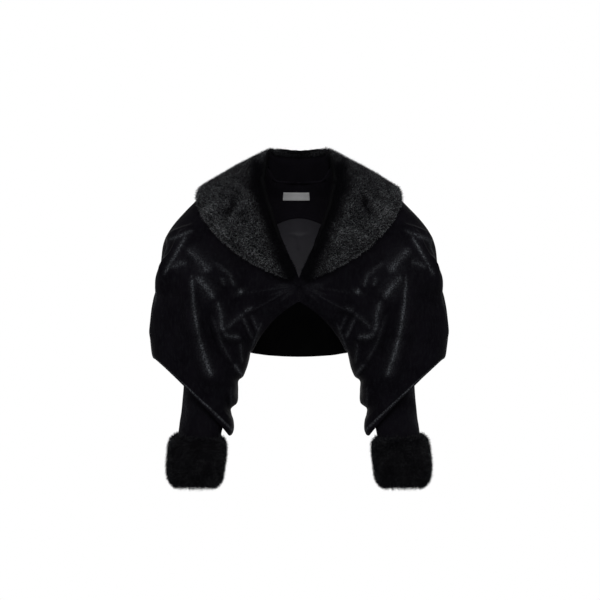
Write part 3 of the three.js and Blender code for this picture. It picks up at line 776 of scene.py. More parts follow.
# dark dents in the pile, and places beside them painted in shade: path, widths and height or strength
DENTS = [
    ([(146, -22), (136, -48), (148, -66)], 9, 12, -5),
    ([(96, -60), (112, -108)], 14, 12, -3),
    ([(70, 10), (88, -6)], 9, 9, -3),
    ([(176, -40), (190, -70)], 12, 12, -3),
]
SHADES = [
    ([(137, -20), (132, -44), (150, -74)], 10, 10, 1.0),
    ([(74, 6), (100, -18)], 14, 14, 0.8),
    ([(84, 44), (94, 30)], 10, 10, 0.6),
    ([(96, -60), (124, -84)], 16, 16, 0.35),
]
stations = np.array(COLLAR_STATIONS, float).reshape(len(COLLAR_STATIONS), 4, 3)
neck_edge = back_points(np.linspace(0, BACK_SIDE_AT, 60), [1.0])[:, 0]
for station in stations[BACK_NECK_STATION:]:
    station[0, 1] = np.interp(station[0, 0], neck_edge[:, 0], neck_edge[:, 1]) - STAND_INSIDE
    station[0, 2] = np.interp(station[0, 0], neck_edge[:, 0], neck_edge[:, 2])
lengthways = np.linspace(TIP_INSET, len(stations) - 1, COLLAR_STEPS + 1)
half_collar = spline(stations, lengthways)
crossways = np.linspace(NECK_INSET, 3 - EDGE_INSET, COLLAR_ACROSS + 1)
wider = 1 + CORNER_REACH * np.exp(-(((lengthways - CORNER_STATION) / 0.8) ** 2))
collar_form = np.stack([spline(row, crossways * reach) for row, reach in zip(half_collar, wider)])
other_half = collar_form[-2::-1] * (-1, 1, 1)
collar_form = np.concatenate([collar_form, other_half])


def grid_normals(grid):
    """Outward unit normals of a grid of points"""
    along = np.gradient(grid, axis=0)
    across = np.gradient(grid, axis=1)
    normals = np.cross(across, along)
    return normals / np.linalg.norm(normals, axis=-1, keepdims=True)


# the pile is thinner at the collar's tips, and there is none on the inner side of the stand
row = np.arange(len(collar_form))
from_tip = np.minimum(row, row[::-1])
thin = 0.4 + 0.6 * smooth(from_tip / 18)[:, None]
round_neck = smooth((from_tip / COLLAR_STEPS - STAND_FROM) * 12)[:, None]
on_stand = round_neck * smooth((0.64 - crossways) * 5)[None]
thin = thin * (1 - on_stand)
collar_skin = collar_form - grid_normals(collar_form) * (PILE_DEPTH * thin)[..., None]
flat_skin = collar_skin.reshape(-1, 3)
dent_depth = fold_heights(DENTS, np.abs(flat_skin[:, 0]), flat_skin[:, 2])
for height, size, seed in UNEVEN_PILE:
    dent_depth += height * uneven(flat_skin, size, seed)
dent_depth *= 1 - on_stand.ravel()
flat_skin = flat_skin + grid_normals(collar_form).reshape(-1, 3) * dent_depth[:, None]
collar_skin = flat_skin.reshape(collar_form.shape)
collar_comb = np.gradient(collar_form, axis=1)
collar_comb /= np.linalg.norm(collar_comb, axis=-1, keepdims=True)

# painted light on the fur: it lightens some way past the roll, more where it lies lower, and from
# the shoulder backwards on the roll itself too
roll = COLLAR_ACROSS // 3
past_roll = np.cumsum(np.linalg.norm(np.diff(collar_form[:, roll:], axis=1), axis=-1), axis=1)
lower = smooth((20 - collar_form[..., 2]) / 100)
collar_painted_light = np.zeros(collar_form.shape[:2])
collar_painted_light[:, roll + 1 :] = smooth((past_roll - 20) / 32)
collar_painted_light *= 0.4 + 0.6 * lower
past_shoulder = smooth((from_tip / COLLAR_STEPS - 0.5) * 8)[:, None]
over_the_roll = np.exp(-(((crossways - 1.05) / 0.36) ** 2))[None] * past_shoulder
collar_painted_light = np.maximum(collar_painted_light, 0.5 * over_the_roll)
# painted shade: the shaded places darken the fur's painted light
shade = fold_heights(SHADES, np.abs(collar_form[..., 0]), collar_form[..., 2])
collar_painted_light *= 1 - np.clip(shade, 0, 1)

pelt = grid_piece("collar_pelt", collar_skin)
keep_on_points(pelt, "comb", collar_comb.reshape(-1, 3))
keep_on_points(pelt, "light", collar_painted_light.ravel())

CUFF_RINGS = [
    [256, -512, 152, -518, 49, 48, -33, 0, 0.9],
    [264, -522, 146, -528, 55, 54, -35, 0, 0.9],
    [268, -549, 147, -552, 57, 56, -39, 0, 0.9],
    [269, -576, 150, -578, 57, 56, -43, 0, 0.9],
    [266, -597, 154, -598, 54, 53, -46, 0, 0.9],
    [256, -609, 163, -610, 47, 46, -47, 0, 0.9],
]
CUFF_STEPS = 26
CUFF_ROUND = 80
# the cuffs' fur keeps one low level of painted light all over
CUFF_LIGHT = 0.15
cuff_rings = spread(CUFF_RINGS, CUFF_STEPS)
cuff_rings[:, [0, 4, 5]] -= PILE_DEPTH
cuff_rings[:, 2] += PILE_DEPTH
cuff_form = ring_points(cuff_rings, np.arange(CUFF_ROUND) / CUFF_ROUND * 2 * math.pi)
cuff_comb = np.gradient(cuff_form, axis=0)
cuff_comb /= np.linalg.norm(cuff_comb, axis=-1, keepdims=True)
cuff_comb *= smooth(np.linspace(0, 1, CUFF_STEPS + 1) * 5)[:, None, None] * 2 - 1
cuff_pelts = []
for side in ("left", "right"):
    piece = tube_piece("cuff_pelt", cuff_form, side)
    sign = (1, 1, 1) if side == "left" else (-1, 1, 1)
    keep_on_points(piece, "comb", cuff_comb.reshape(-1, 3) * sign)
    keep_on_points(piece, "light", np.full(len(piece.data.vertices), CUFF_LIGHT))
    cuff_pelts.append(piece)
print("collar skin:", collar_skin.shape[:2], "cuff skin:", cuff_form.shape[:2])

# %% [markdown]
# ## Facing, lining and label
# Inside the back neck lies a black facing, below it a dark satin lining, and on the facing a small
# woven label, left bare. They are cut here from the back's own surface, moved inwards by the velvet's
# thickness, so they follow it everywhere. The seam between facing and lining bows down towards the
# sides, and the lining keeps a small pleat for ease at its top.

# %% Facing, lining and label
LINING_THICK = 1.0
SEAM_BOW = 0.38
# name: edges as t and share of the back, points across and up, depth below the velvet's face, bows
INNER_PIECES = {
    "facing": ((-0.5, 0.5), (0.716, 1.01), (64, 40), 3.2, (SEAM_BOW, 0)),
    "lining": ((-0.5, 0.5), (0.286, 0.724), (80, 70), 2.1, (0, SEAM_BOW)),
    "woven_label": ((-0.225, 0.15), (0.842, 0.916), (30, 12), 4.6, (0, 0)),
}
PLEAT = [
    ([(-24, -98), (2, -100), (26, -97)], 4, 3, 0.6),
    ([(1, -96), (0, -132)], 3, 4, 0.9),
    ([(-9, -96), (-4, -108)], 3, 2, 0.8),
    ([(9, -96), (5, -108)], 2, 3, 0.8),
]
inner_pieces = {}


def inner_grid(t_ends, share_ends, counts, bows):
    """A grid on the back between two shares, whose edges bend down towards the sides by their bows"""
    t_values = np.linspace(*t_ends, counts[0])
    shares = np.linspace(0, 1.04, 400)
    rows = []
    for t_value, line in zip(t_values, back_points(t_values, shares)):
        ends = [share - bow * t_value**2 for share, bow in zip(share_ends, bows)]
        wanted = np.linspace(*ends, counts[1])
        rows.append(np.stack([np.interp(wanted, shares, line[:, k]) for k in range(3)], -1))
    return np.stack(rows)


for name, (t_ends, share_ends, counts, depth, bows) in INNER_PIECES.items():
    grid = inner_grid(t_ends, share_ends, counts, bows)
    if name == "woven_label":
        level = grid[..., 2].mean(axis=0)[None] - grid[..., 2]
        grid = grid + level[..., None] * (0, -0.5, 1)
    inwards = -grid_normals(grid)
    sheet = grid + inwards * (depth + LINING_THICK)
    if name == "lining":
        flat = sheet.reshape(-1, 3)
        ease = fold_heights(PLEAT, flat[:, 0], flat[:, 2]) + 0.5 * (1 + uneven(flat, 60, 31))
        sheet = sheet + inwards * ease.reshape(sheet.shape[:2])[..., None]
    piece = grid_piece(name, sheet[::-1])
    inner_pieces[name] = piece
print("inner pieces:", list(inner_pieces))

# %% [markdown]
# ## Node graphs as expressions
# Finishes and fur are worked out by node graphs. A small class wraps an output socket, so that sums
# are written as sums, and one method makes any other node from its settings and its inputs.

# %% Node graphs as expressions
class Output:
    """One output of a node, which takes part in sums"""

    def __init__(self, graph, socket):
        self.graph, self.socket = graph, socket

    def math(self, operation, first, second):
        return self.graph.node("ShaderNodeMath", {"operation": operation}, {0: first, 1: second})

    def __add__(self, other):
        return self.math("ADD", self, other)

    def __rsub__(self, other):
        return self.math("SUBTRACT", other, self)

    def __mul__(self, other):
        return self.math("MULTIPLY", self, other)

    def __truediv__(self, other):
        return self.math("DIVIDE", self, other)

    def __pow__(self, other):
        return self.math("POWER", self, other)

    __radd__ = __add__
    __rmul__ = __mul__

    def also(self, name):
        """Another output of the same node"""
        return Output(self.graph, self.socket.node.outputs[name])


class Graph:
    """A node tree that is built by calls"""

    def __init__(self, tree):
        self.tree = tree

    def node(self, kind, settings=None, values=None, output=0):
        made = self.tree.nodes.new(kind)
        for name, value in (settings or {}).items():
            setattr(made, name, value)
        for name, value in (values or {}).items():
            if isinstance(value, Output):
                self.tree.links.new(value.socket, made.inputs[name])
            else:
                made.inputs[name].default_value = value
        return Output(self, made.outputs[output])

    def vector_math(self, operation, first, second):
        return self.node("ShaderNodeVectorMath", {"operation": operation}, {0: first, 1: second})


# length of one wave of the wave node at scale 1
WAVE_LENGTH = 2 * math.pi / 20


class Finish(Graph):
    """A material whose surface is one Principled shader"""

    def __init__(self, name, viewport=(0.02, 0.02, 0.02)):
        self.material = bpy.data.materials.new(name)
        self.material.use_nodes = True
        self.material.diffuse_color = (*viewport, 1)
        super().__init__(self.material.node_tree)
        self.tree.nodes.clear()
        self.place = self.node("ShaderNodeTexCoord", output="Object")

    def noise(self, scale, detail=2.0, roughness=0.5, at=None):
        values = {"Vector": at or self.place, "Scale": scale, "Detail": detail, "Roughness": roughness}
        return self.node("ShaderNodeTexNoise", {}, values)

    def stretched(self, x, y, z):
        """The object's coordinates, scaled apart along each axis"""
        return self.node("ShaderNodeMapping", {}, {"Vector": self.place, "Scale": (x, y, z)})

    def waves(self, per_metre, turn=0.0):
        """Ridges side by side along x, so many to a metre, turned towards z by an angle"""
        turned = self.node("ShaderNodeMapping", {}, {"Vector": self.place, "Rotation": (0, turn, 0)})
        values = {"Vector": turned, "Scale": per_metre * WAVE_LENGTH}
        return self.node("ShaderNodeTexWave", {"bands_direction": "X"}, values, output="Fac")

    def ramp(self, value, low, high):
        return self.node("ShaderNodeMapRange", {}, {"Value": value, "From Min": low, "From Max": high})

    def mix(self, factor, first, second):
        values = {0: factor}
        for socket, colour in ((6, first), (7, second)):
            values[socket] = colour if isinstance(colour, Output) else (*colour, 1)
        return self.node("ShaderNodeMix", {"data_type": "RGBA"}, values, output=2)

    def bump(self, height, depth, strength=1.0):
        values = {"Height": height, "Distance": depth, "Strength": strength}
        return self.node("ShaderNodeBump", {}, values)

    def surface(self, **values):
        sockets = {name.replace("_", " "): value for name, value in values.items()}
        shader = self.node("ShaderNodeBsdfPrincipled", {}, sockets)
        end = self.tree.nodes.new("ShaderNodeOutputMaterial")
        self.tree.links.new(shader.socket, end.inputs["Surface"])
        return self.material


# %% [markdown]
# ## Velvet
# Velvet is a short dense pile that looks into itself: nearly black seen straight on, and grey on the
# crests, where the pile leans to the light. A gloss would make it look like satin, so there is hardly
# any, and that sheen is painted instead: the painted sheen value kept on each point lightens the
# colour. Noise of one to five millimetres breaks that up into the pile's grain, and slow noise stands
# for the places where the pile has been stroked another way.

# %% Velvet
# the grey that the painted sheen lightens the velvet towards on its crests
PAINTED_SHEEN_GREY = (0.056, 0.06, 0.066)


def velvet_finish():
    cloth = Finish("black_velvet")
    stroked = cloth.ramp(cloth.noise(24, 3), 0.35, 0.7)
    grain = cloth.noise(760, 2, 0.6)
    tufts = cloth.noise(210, 3, 0.6, cloth.stretched(1.0, 1.0, 0.35))
    dark = cloth.mix(stroked, (0.0015, 0.0013, 0.0019), (0.0023, 0.002, 0.0029))
    fleck = cloth.ramp(tufts * 0.5 + grain * 0.5, 0.48, 0.68)
    dark = cloth.mix(fleck, dark, (0.0036, 0.0037, 0.0045))
    # painted sheen: the value kept on each point lightens the colour, broken up into grain
    silk = cloth.node("ShaderNodeAttribute", {"attribute_name": "silk"}, output="Fac")
    glint = cloth.ramp(cloth.noise(430, 1, 0.5), 0.46, 0.62)
    painted_shine = silk * (0.15 + 0.85 * glint) * (0.6 + 0.7 * stroked)
    return cloth.surface(
        Base_Color=cloth.mix(painted_shine, dark, PAINTED_SHEEN_GREY),
        Roughness=0.32 + 0.12 * stroked + 0.1 * grain,
        IOR=1.03,
        Specular_IOR_Level=0.3,
        Normal=cloth.bump(grain * 0.5 + tufts * 0.7, 0.0011, 0.6),
    )


velvet = velvet_finish()
print("velvet nodes:", len(velvet.node_tree.nodes))

# %% [markdown]
# ## Lining, satin, facing, label and metal
# The inner side of the velvet pieces is a plain black lining that hardly shines. The satin lining
# shines a little more, and its threads run aslant. The facing is a matt plain weave; the same cloth,
# painted darker as shade, covers the stand, and the label is a ribbed ribbon. Weaves are waves of
# two directions in the object's own coordinates, about two threads to a millimetre.

# %% Lining, satin, facing, label and metal
def weave(cloth, per_metre, slant=0.0):
    """Height of a plain weave: warp and weft threads as two crossed waves"""
    return cloth.waves(per_metre, slant) * cloth.waves(per_metre, slant + math.pi / 2)


def black_lining_finish():
    cloth = Finish("black_lining")
    threads = weave(cloth, 2200)
    wear = cloth.noise(30, 3)
    return cloth.surface(
        Base_Color=cloth.mix(wear, (0.0012, 0.0012, 0.0014), (0.0026, 0.0026, 0.0028)),
        Roughness=0.7 + 0.15 * wear,
        IOR=1.03,
        Specular_IOR_Level=0.2,
        Normal=cloth.bump(threads, 0.0002, 0.5),
    )


def satin_finish():
    cloth = Finish("dark_satin")
    threads = weave(cloth, 2600, slant=0.6)
    flow = cloth.noise(16, 3, 0.5, cloth.stretched(2.2, 1, 0.5))
    return cloth.surface(
        Base_Color=cloth.mix(flow, (0.0099, 0.0094, 0.0123), (0.0143, 0.0136, 0.0173)),
        Roughness=0.46 + 0.12 * threads,
        Specular_IOR_Level=0.16,
        Normal=cloth.bump(threads * 0.25 + flow, 0.0005, 0.4),
    )


def facing_finish(name, shade):
    cloth = Finish(name)
    threads = weave(cloth, 1500)
    cloud = cloth.noise(40, 3)
    thin, full = (0.0034, 0.003, 0.0042), (0.0052, 0.0047, 0.0062)
    return cloth.surface(
        Base_Color=cloth.mix(cloud, [shade * c for c in thin], [shade * c for c in full]),
        Roughness=0.74 + 0.1 * cloud,
        IOR=1.05,
        Specular_IOR_Level=0.2,
        Normal=cloth.bump(threads + 0.6 * cloud, 0.0003, 0.6),
    )


def label_finish():
    cloth = Finish("label_ribbon")
    ribs = cloth.waves(900, math.pi / 2)
    fibre = cloth.noise(900, 2, 0.6, cloth.stretched(0.3, 1, 1.6))
    return cloth.surface(
        Base_Color=cloth.mix(fibre, (0.24, 0.24, 0.245), (0.35, 0.35, 0.355)),
        Roughness=0.5 + 0.2 * fibre,
        Specular_IOR_Level=0.3,
        Normal=cloth.bump(ribs * 0.6 + fibre * 0.5, 0.0003, 0.6),
    )


def dark_metal_finish():
    wire = Finish("blackened_wire")
    rub = wire.noise(420, 3)
    return wire.surface(
        Base_Color=wire.mix(rub, (0.03, 0.03, 0.032), (0.1, 0.1, 0.105)),
        Metallic=1.0,
        Roughness=0.3 + 0.25 * rub,
        Normal=wire.bump(wire.noise(1500), 0.0001, 0.4),
    )


black_lining = black_lining_finish()
satin = satin_finish()
facing_cloth = facing_finish("matt_facing", 1.1)
# the stand's cloth is the facing painted darker, as painted shade
stand_cloth_in_painted_shade = facing_finish("stand_facing", 0.5)
label_cloth = label_finish()
dark_metal = dark_metal_finish()
print("cloth finishes ready")

# %% [markdown]
# ## Fur
# A strand is nearly black at its root and painted greyer towards its tip, where light comes through
# it. No two strands are dyed alike, so each carries a tone of its own, and it takes the painted light
# and shade that is kept on the skin below it. Noise of two millimetres gathers the painted lit tips
# into specks, and slower noise makes patches of them. Beneath the strands the backing is black.

# %% Fur
def fur_finish():
    fur = Finish("fur_strands")
    tip = fur.node("ShaderNodeAttribute", {"attribute_name": "tip"}, output="Fac")
    tone = fur.node("ShaderNodeAttribute", {"attribute_name": "tone"}, output="Fac")
    light = fur.node("ShaderNodeAttribute", {"attribute_name": "light"}, output="Fac")
    mottle = fur.ramp(fur.noise(42, 3, 0.6), 0.38, 0.66)
    tufts = fur.ramp(fur.noise(480, 2, 0.7), 0.49, 0.61)
    # painted light: lit tips, scaled by the painted light and shade kept on the skin
    bright = (tip**1.5) * tone * (0.02 + 0.98 * light) * (0.45 + 0.55 * mottle)
    bright = bright * (0.2 + 0.8 * tufts)
    return fur.surface(
        Base_Color=fur.mix(bright, (0.0014, 0.0013, 0.0019), (0.62, 0.645, 0.67)),
        Roughness=0.5 + 0.2 * tone,
        IOR=1.04,
        Specular_IOR_Level=0.1,
    )


def fur_backing_finish():
    backing = Finish("fur_backing")
    knit = backing.noise(520, 3, 0.6)
    return backing.surface(
        Base_Color=backing.mix(knit, (0.0012, 0.0012, 0.0014), (0.004, 0.004, 0.0045)),
        Roughness=0.8 + 0.1 * knit,
        IOR=1.03,
        Specular_IOR_Level=0.2,
        Normal=backing.bump(knit, 0.001, 0.8),
    )


fur_strands = fur_finish()
fur_backing = fur_backing_finish()
print("fur nodes:", len(fur_strands.node_tree.nodes))

# %% [markdown]
# ## Growing the pile
# A node tree scatters points on a pelt, puts a thin three-sided strand on each, and leans it from the
# pelt's normal towards the combed way. A slow noise turns neighbouring strands together, which parts
# the pile into locks as on real fur. The strands are made real, since an export drops instances.

# %% Growing the pile
def open_group(name, inputs, result):
    """A new node tree with named inputs: its graph, and the node that gives those inputs"""
    tree = bpy.data.node_groups.new(name, "GeometryNodeTree")
    for label, kind in inputs.items():
        tree.interface.new_socket(label, in_out="INPUT", socket_type="NodeSocket" + kind)
    tree.interface.new_socket(result, in_out="OUTPUT", socket_type="NodeSocketGeometry")
    graph = Graph(tree)
    return graph, graph.node("NodeGroupInput")


def close_group(graph, placed, cloth):
    """Makes the placed things real, gives them their material and ends the tree"""
    real = graph.node("GeometryNodeRealizeInstances", {}, {"Geometry": placed})
    finished = graph.node("GeometryNodeSetMaterial", {}, {"Geometry": real, "Material": cloth})
    end = graph.tree.nodes.new("NodeGroupOutput")
    graph.tree.links.new(finished.socket, end.inputs[0])
    return graph.tree


def run_group(piece, tree, sizes):
    """Runs a node tree on a piece and keeps what it makes as the piece's plain mesh"""
    modifier = piece.modifiers.new(tree.name, "NODES")
    modifier.node_group = tree
    for item in tree.interface.items_tree:
        if item.in_out == "INPUT" and item.name in sizes:
            modifier[item.identifier] = sizes[item.name]
    plain_mesh(piece)


# a strand's size, compared with the length and thickness asked for
SHORTEST, LONGEST = 0.65, 1.25


def pile_tree():
    names = ("Strands per square metre", "Length", "Thickness", "Lean", "Locks", "Stray")
    inputs = {"Pelt": "Geometry", **dict.fromkeys(names, "Float"), "Seed": "Int"}
    graph, given = open_group("grow_pile", inputs, "Pile")
    density, length, thickness, lean, locks, stray = (given.also(name) for name in names)
    seed = given.also("Seed")

    material_number = graph.node("GeometryNodeInputMaterialIndex")
    furry = graph.node(
        "FunctionNodeCompare", {"data_type": "INT", "operation": "EQUAL"}, {2: material_number, 3: 0}
    )
    scattered = graph.node(
        "GeometryNodeDistributePointsOnFaces",
        {"distribute_method": "RANDOM"},
        {"Mesh": given, "Selection": furry, "Density": density, "Seed": seed},
    )
    strand = graph.node(
        "GeometryNodeMeshCone",
        {"fill_type": "NONE"},
        {"Vertices": 3, "Radius Top": 0.0, "Radius Bottom": thickness, "Depth": length},
    )
    position = graph.node("GeometryNodeInputPosition")
    height = graph.node("ShaderNodeSeparateXYZ", {}, {0: position}, output="Z")
    strand = graph.node(
        "GeometryNodeStoreNamedAttribute",
        {"data_type": "FLOAT", "domain": "POINT"},
        {"Geometry": strand, "Name": "tip", "Value": height / length},
    )
    vectors = {"data_type": "FLOAT_VECTOR"}
    comb = graph.node("GeometryNodeInputNamedAttribute", vectors, {"Name": "comb"})
    values = {"Vector": position, "Scale": 38.0, "Detail": 2.0}
    lock = graph.node("ShaderNodeTexNoise", {}, values, output="Color")
    lock = graph.vector_math("SUBTRACT", lock, (0.5, 0.5, 0.5))
    values = {0: (-1.0, -1.0, -1.0), 1: (1.0, 1.0, 1.0), "Seed": seed}
    loose = graph.node("FunctionNodeRandomValue", vectors, values)

    def scaled(vector, amount):
        return graph.node("ShaderNodeVectorMath", {"operation": "SCALE"}, {0: vector, "Scale": amount})

    way = scaled(scattered.also("Normal"), 1 - lean)
    for part, amount in ((comb, lean), (lock, locks), (loose, stray)):
        way = graph.vector_math("ADD", way, scaled(part, amount))
    turned = graph.node("FunctionNodeAlignRotationToVector", {"axis": "Z"}, {"Vector": way})
    number = {"data_type": "FLOAT"}
    values = {2: SHORTEST, 3: LONGEST, "Seed": seed + 1}
    size = graph.node("FunctionNodeRandomValue", number, values, output=1)
    planted = graph.node(
        "GeometryNodeInstanceOnPoints",
        {},
        {"Points": scattered, "Instance": strand, "Rotation": turned, "Scale": size},
    )
    tone = graph.node("FunctionNodeRandomValue", number, {"Seed": seed + 2}, output=1)
    planted = graph.node(
        "GeometryNodeStoreNamedAttribute",
        {"data_type": "FLOAT", "domain": "INSTANCE"},
        {"Geometry": planted, "Name": "tone", "Value": tone},
    )
    return close_group(graph, planted, fur_strands)


grow_pile = pile_tree()


def grow(name, pelt_part, sizes):
    """A plain mesh of strands on a pelt; the pelt itself is left as it is"""
    piece = bpy.data.objects.new(name, pelt_part.data.copy())
    bpy.context.collection.objects.link(piece)
    run_group(piece, grow_pile, sizes)
    piece.data.shade_smooth()
    print(name, "triangles:", sum(len(p.vertices) - 2 for p in piece.data.polygons))
    return piece


def dress(piece, *materials):
    """Gives a piece its materials, outer side first"""
    piece.data.materials.clear()
    for material in materials:
        piece.data.materials.append(material)


# %% [markdown]
# ## Thickness and finish of every cloth
# Each sheet now gets its thickness inwards, so its outer face stays on the form. The inner side of
# the collar's stand is plain cloth, and no pile is grown on it.

# %% Thickness and finish of every cloth
CUFF_PELT_THICK, LABEL_THICK = 1.2, 0.7
for piece in (*drapes, back, *forearms):
    dress(piece, velvet, black_lining)
    thicken(piece, VELVET_THICK)
for cuff in cuff_pelts:
    dress(cuff, fur_backing, black_lining)
    thicken(cuff, CUFF_PELT_THICK)
dress(pelt, fur_backing, black_lining, stand_cloth_in_painted_shade)
bare = (on_stand[:-1, :-1] > 0.5).ravel()
pelt.data.polygons.foreach_set("material_index", np.where(bare, 2, 0))
thicken(pelt, PELT_THICK)
inner_cloths = {"facing": facing_cloth, "lining": satin, "woven_label": label_cloth}
for name, piece in inner_pieces.items():
    dress(piece, inner_cloths[name], inner_cloths[name])
    thicken(piece, LABEL_THICK if name == "woven_label" else LINING_THICK)
print("faces of a drape:", len(drapes[0].data.polygons))
print("faces of the collar's pelt:", len(pelt.data.polygons))

# %% [markdown]
# ## Pile of the collar and the cuffs
# The collar's pile is grown in two halves, so that neither mesh becomes too heavy. The cuffs' fur is
# denser and longer than the collar's, combed flatter, and parts more strongly into locks.

# %% Pile of the collar and the cuffs
def half_pelt(side):
    """A copy of the collar's pelt with the faces of one side only"""
    half = bpy.data.objects.new("half_pelt_" + side, pelt.data.copy())
    bpy.context.collection.objects.link(half)
    sign = 1 if side == "left" else -1
    keep = np.array([face.center.x * sign >= 0 for face in half.data.polygons])
    work = bmesh.new()
    work.from_mesh(half.data)
    work.faces.ensure_lookup_table()
    bmesh.ops.delete(work, geom=[work.faces[i] for i in np.flatnonzero(~keep)], context="FACES")
    work.to_mesh(half.data)
    work.free()
    return half


COLLAR_PILE = {
    "Strands per square metre": 5.9e5,
    "Length": 0.0075,
    "Thickness": 0.00044,
    "Lean": 0.15,
    "Locks": 0.6,
    "Stray": 0.6,
}
CUFF_PILE = {
    "Strands per square metre": 7.5e5,
    "Length": 0.0095,
    "Thickness": 0.0004,
    "Lean": 0.45,
    "Locks": 1.2,
    "Stray": 0.42,
}
fur_pieces = []
for number, side in enumerate(("left", "right")):
    half = half_pelt(side)
    fur_pieces.append(grow("collar_pile_" + side, half, {**COLLAR_PILE, "Seed": 4 + number}))
    bpy.data.objects.remove(half)
for number, cuff in enumerate(cuff_pelts):
    side = cuff.name.rsplit("_")[-1]
    fur_pieces.append(grow("cuff_pile_" + side, cuff, {**CUFF_PILE, "Seed": 14 + number}))

# %% [markdown]
# ## Stitches
# The label is held by a row of small stitches at each end, and a level row of felling runs where the
# facing meets the lining in the middle. A node tree places one bar of thread after another along a
# line.

# %% Stitches
# a thread of six sides, with a fan of six at each end
FACES_OF_A_STITCH = 18


def stitch_tree():
    inputs = {"Line": "Geometry", "Pitch": "Float", "Stitch": "Float", "Thread": "Float"}
    graph, given = open_group("stitch_row", {**inputs, "Cloth": "Material"}, "Row")
    path = graph.node("GeometryNodeMeshToCurve", {}, {"Mesh": given})
    points = graph.node(
        "GeometryNodeCurveToPoints", {"mode": "LENGTH"}, {"Curve": path, "Length": given.also("Pitch")}
    )
    thread = graph.node(
        "GeometryNodeMeshCylinder",
        {"fill_type": "TRIANGLE_FAN"},
        {"Vertices": 6, "Radius": given.also("Thread"), "Depth": given.also("Stitch")},
    )
    tangent = points.also("Tangent")
    along = graph.node("FunctionNodeAlignRotationToVector", {"axis": "Z"}, {"Vector": tangent})
    placed = graph.node(
        "GeometryNodeInstanceOnPoints", {}, {"Points": points, "Instance": thread, "Rotation": along}
    )
    return close_group(graph, placed, given.also("Cloth"))


stitch_row = stitch_tree()


def sew(name, lines, pitch, stitch, thread, cloth):
    """Rows of stitches along lines of points, as one plain mesh; the pitch, a stitch's length and the
    thread's radius are in millimetres"""
    edges, first = [], 0
    for line in lines:
        edges += [(first + k, first + k + 1) for k in range(len(line) - 1)]
        first += len(line)
    mesh = bpy.data.meshes.new(name)
    mesh.from_pydata((np.concatenate(lines) * MM).tolist(), edges, [])
    row = bpy.data.objects.new(name, mesh)
    bpy.context.collection.objects.link(row)
    sizes = {"Pitch": pitch * MM, "Stitch": stitch * MM, "Thread": thread * MM, "Cloth": cloth}
    run_group(row, stitch_row, sizes)
    print(name, "stitches:", len(row.data.polygons) // FACES_OF_A_STITCH)
    return row


def inner_grid_at(t_values, shares, depth):
    """Points on the back's inner side, at a depth below the velvet's face"""
    grid = back_points(t_values, shares)
    return grid - grid_normals(grid) * depth


# depth of the stitches below the label's own, and below the velvet's face at the facing's edge
LABEL_STITCHES_BELOW, FELLING_DEPTH = 1.2, 3.9
label_t, label_share, _, label_depth, _ = INNER_PIECES["woven_label"]
stitch_depth = label_depth + LABEL_STITCHES_BELOW
label_grid = inner_grid_at(np.linspace(*label_t, 30), np.linspace(*label_share, 12), stitch_depth)
label_rows = [label_grid[1, 1:-1], label_grid[-2, 1:-1]]
fell_shares = np.array([0.70, 0.714, 0.73])
fell_rows = [inner_grid_at(np.linspace(-0.49, 0.49, 60), fell_shares, FELLING_DEPTH)[:, 1]]
label_stitches = sew("label_stitches", label_rows, 1.9, 1.2, 0.22, label_cloth)
felling = sew("felling_stitches", fell_rows, 4.2, 1.3, 0.25, facing_cloth)

# %% [markdown]
# ## Riding and replacing
# Each cloth rides on the jacket's body, stands for its solids, and states the size that it was cut
# to. The cut is what shows, and a tube counts all round. The fur and the stitches belong to the cloth
# that carries them. The hook and the eye stay as the solids are, in blackened wire.

# %% Riding and replacing
# pieces, left one first, the solids that each stands for, slot, flat size of the cut, how it is held,
# area of the cut cloth
SHEETS = [
    (drapes, ["sleeve", "front"], "velvet", (0.66, 0.60), "draped", 0.273),
    ([back], ["back"], "velvet", (0.42, 0.40), "hung", 0.108),
    (forearms, ["forearm"], "velvet", (0.28, 0.24), "hung", 0.052),
    ([pelt], ["collar"], "fur", (0.90, 0.28), "folded", 0.155),
    (cuff_pelts, ["cuff"], "fur", (0.34, 0.12), "folded", 0.0325),
    ([inner_pieces["facing"]], ["neck_facing"], "facing_cloth", (0.18, 0.105), "hung", 0.0186),
    ([inner_pieces["lining"]], ["lining_back"], "satin_lining", (0.18, 0.17), "hung", 0.0265),
    ([inner_pieces["woven_label"]], ["label"], "label_cloth", (0.056, 0.022), "laid", 0.0012),
]
EXTRA = {
    "collar_pelt": fur_pieces[:2],
    "cuff_pelt_left": fur_pieces[2:3],
    "cuff_pelt_right": fur_pieces[3:4],
    "facing": [felling],
    "woven_label": [label_stitches],
}
for pieces, nodes, slot, flat, held, area in SHEETS:
    endings = ("_left", "_right") if len(pieces) == 2 else ("",)
    for piece, ending in zip(pieces, endings):
        extras = EXTRA.get(piece.name, [])
        for each in (piece, *extras):
            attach(each, "root")
        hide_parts(*(node + ending for node in nodes))
        one_side = sum(face.area for face in piece.data.polygons) / 2
        print(f"{piece.name}: one side {one_side:.4f} m2, cut {area:.4f} m2")
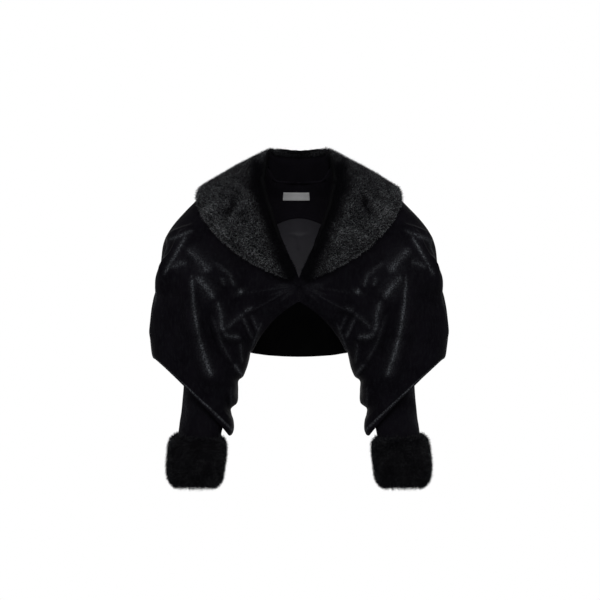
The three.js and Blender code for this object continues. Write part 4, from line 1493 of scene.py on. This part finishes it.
for node in ("hook", "eye"):
    metal_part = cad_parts[node]
    for socket in metal_part.material_slots:
        socket.material = dark_metal

# %% [markdown]
# ## Studio
# Black cloth on white needs soft light from all round: white air, a large softbox before the jacket,
# a weak strip at each side for the outer folds, and another from behind. The floor is pale paper, far
# enough below that no shadow of the jacket reaches the picture, and it throws no light back at it.

# %% Studio
FLOOR_HALF = 3.4
FLOOR_Z = -2.6
corners = np.array([(-1, -1, 0), (1, -1, 0), (1, 1, 0), (-1, 1, 0)]) * FLOOR_HALF + (0, 0, FLOOR_Z)
floor = make_mesh("pale_floor", corners / MM, [(0, 1, 2, 3)])
paper = Finish("pale_paper", (0.9, 0.9, 0.9))
fibre = paper.noise(8, 2)
pale = paper.mix(fibre, (0.93, 0.93, 0.93), (0.95, 0.95, 0.95))
dress(floor, paper.surface(Base_Color=pale, Roughness=0.9, Emission_Color=pale, Emission_Strength=0.5))
floor.visible_glossy = False
floor.visible_diffuse = False

world = bpy.data.worlds.new("studio_air")
world.use_nodes = True
air = world.node_tree.nodes["Background"].inputs
air["Color"].default_value = (1, 1, 1, 1)
air["Strength"].default_value = 1.0
bpy.context.scene.world = world

# name: place, wide, high, watts
LIGHTS = {
    "softbox": ((0.0, -3.2, 1.5), 2.2, 1.4, 80),
    "strip_left": ((-2.2, -0.9, 0.3), 0.7, 2.2, 12),
    "strip_right": ((2.2, -0.9, 0.3), 0.7, 2.2, 12),
    "from_behind": ((0.0, 2.0, 1.8), 2.4, 0.8, 20),
}
for name, (place, wide, high, watts) in LIGHTS.items():
    light = bpy.data.lights.new(name, "AREA")
    light.shape = "RECTANGLE"
    light.size, light.size_y, light.energy = wide, high, watts
    lamp = bpy.data.objects.new(name, light)
    lamp.location = place
    towards = np.array(AIM) - np.array(place)
    flat_way = math.hypot(towards[0], towards[1])
    lamp.rotation_euler = (math.atan2(flat_way, -towards[2]), 0, math.atan2(-towards[0], towards[1]))
    bpy.context.collection.objects.link(lamp)
bpy.context.scene.view_settings.view_transform = "Standard"
print("lights:", list(LIGHTS))
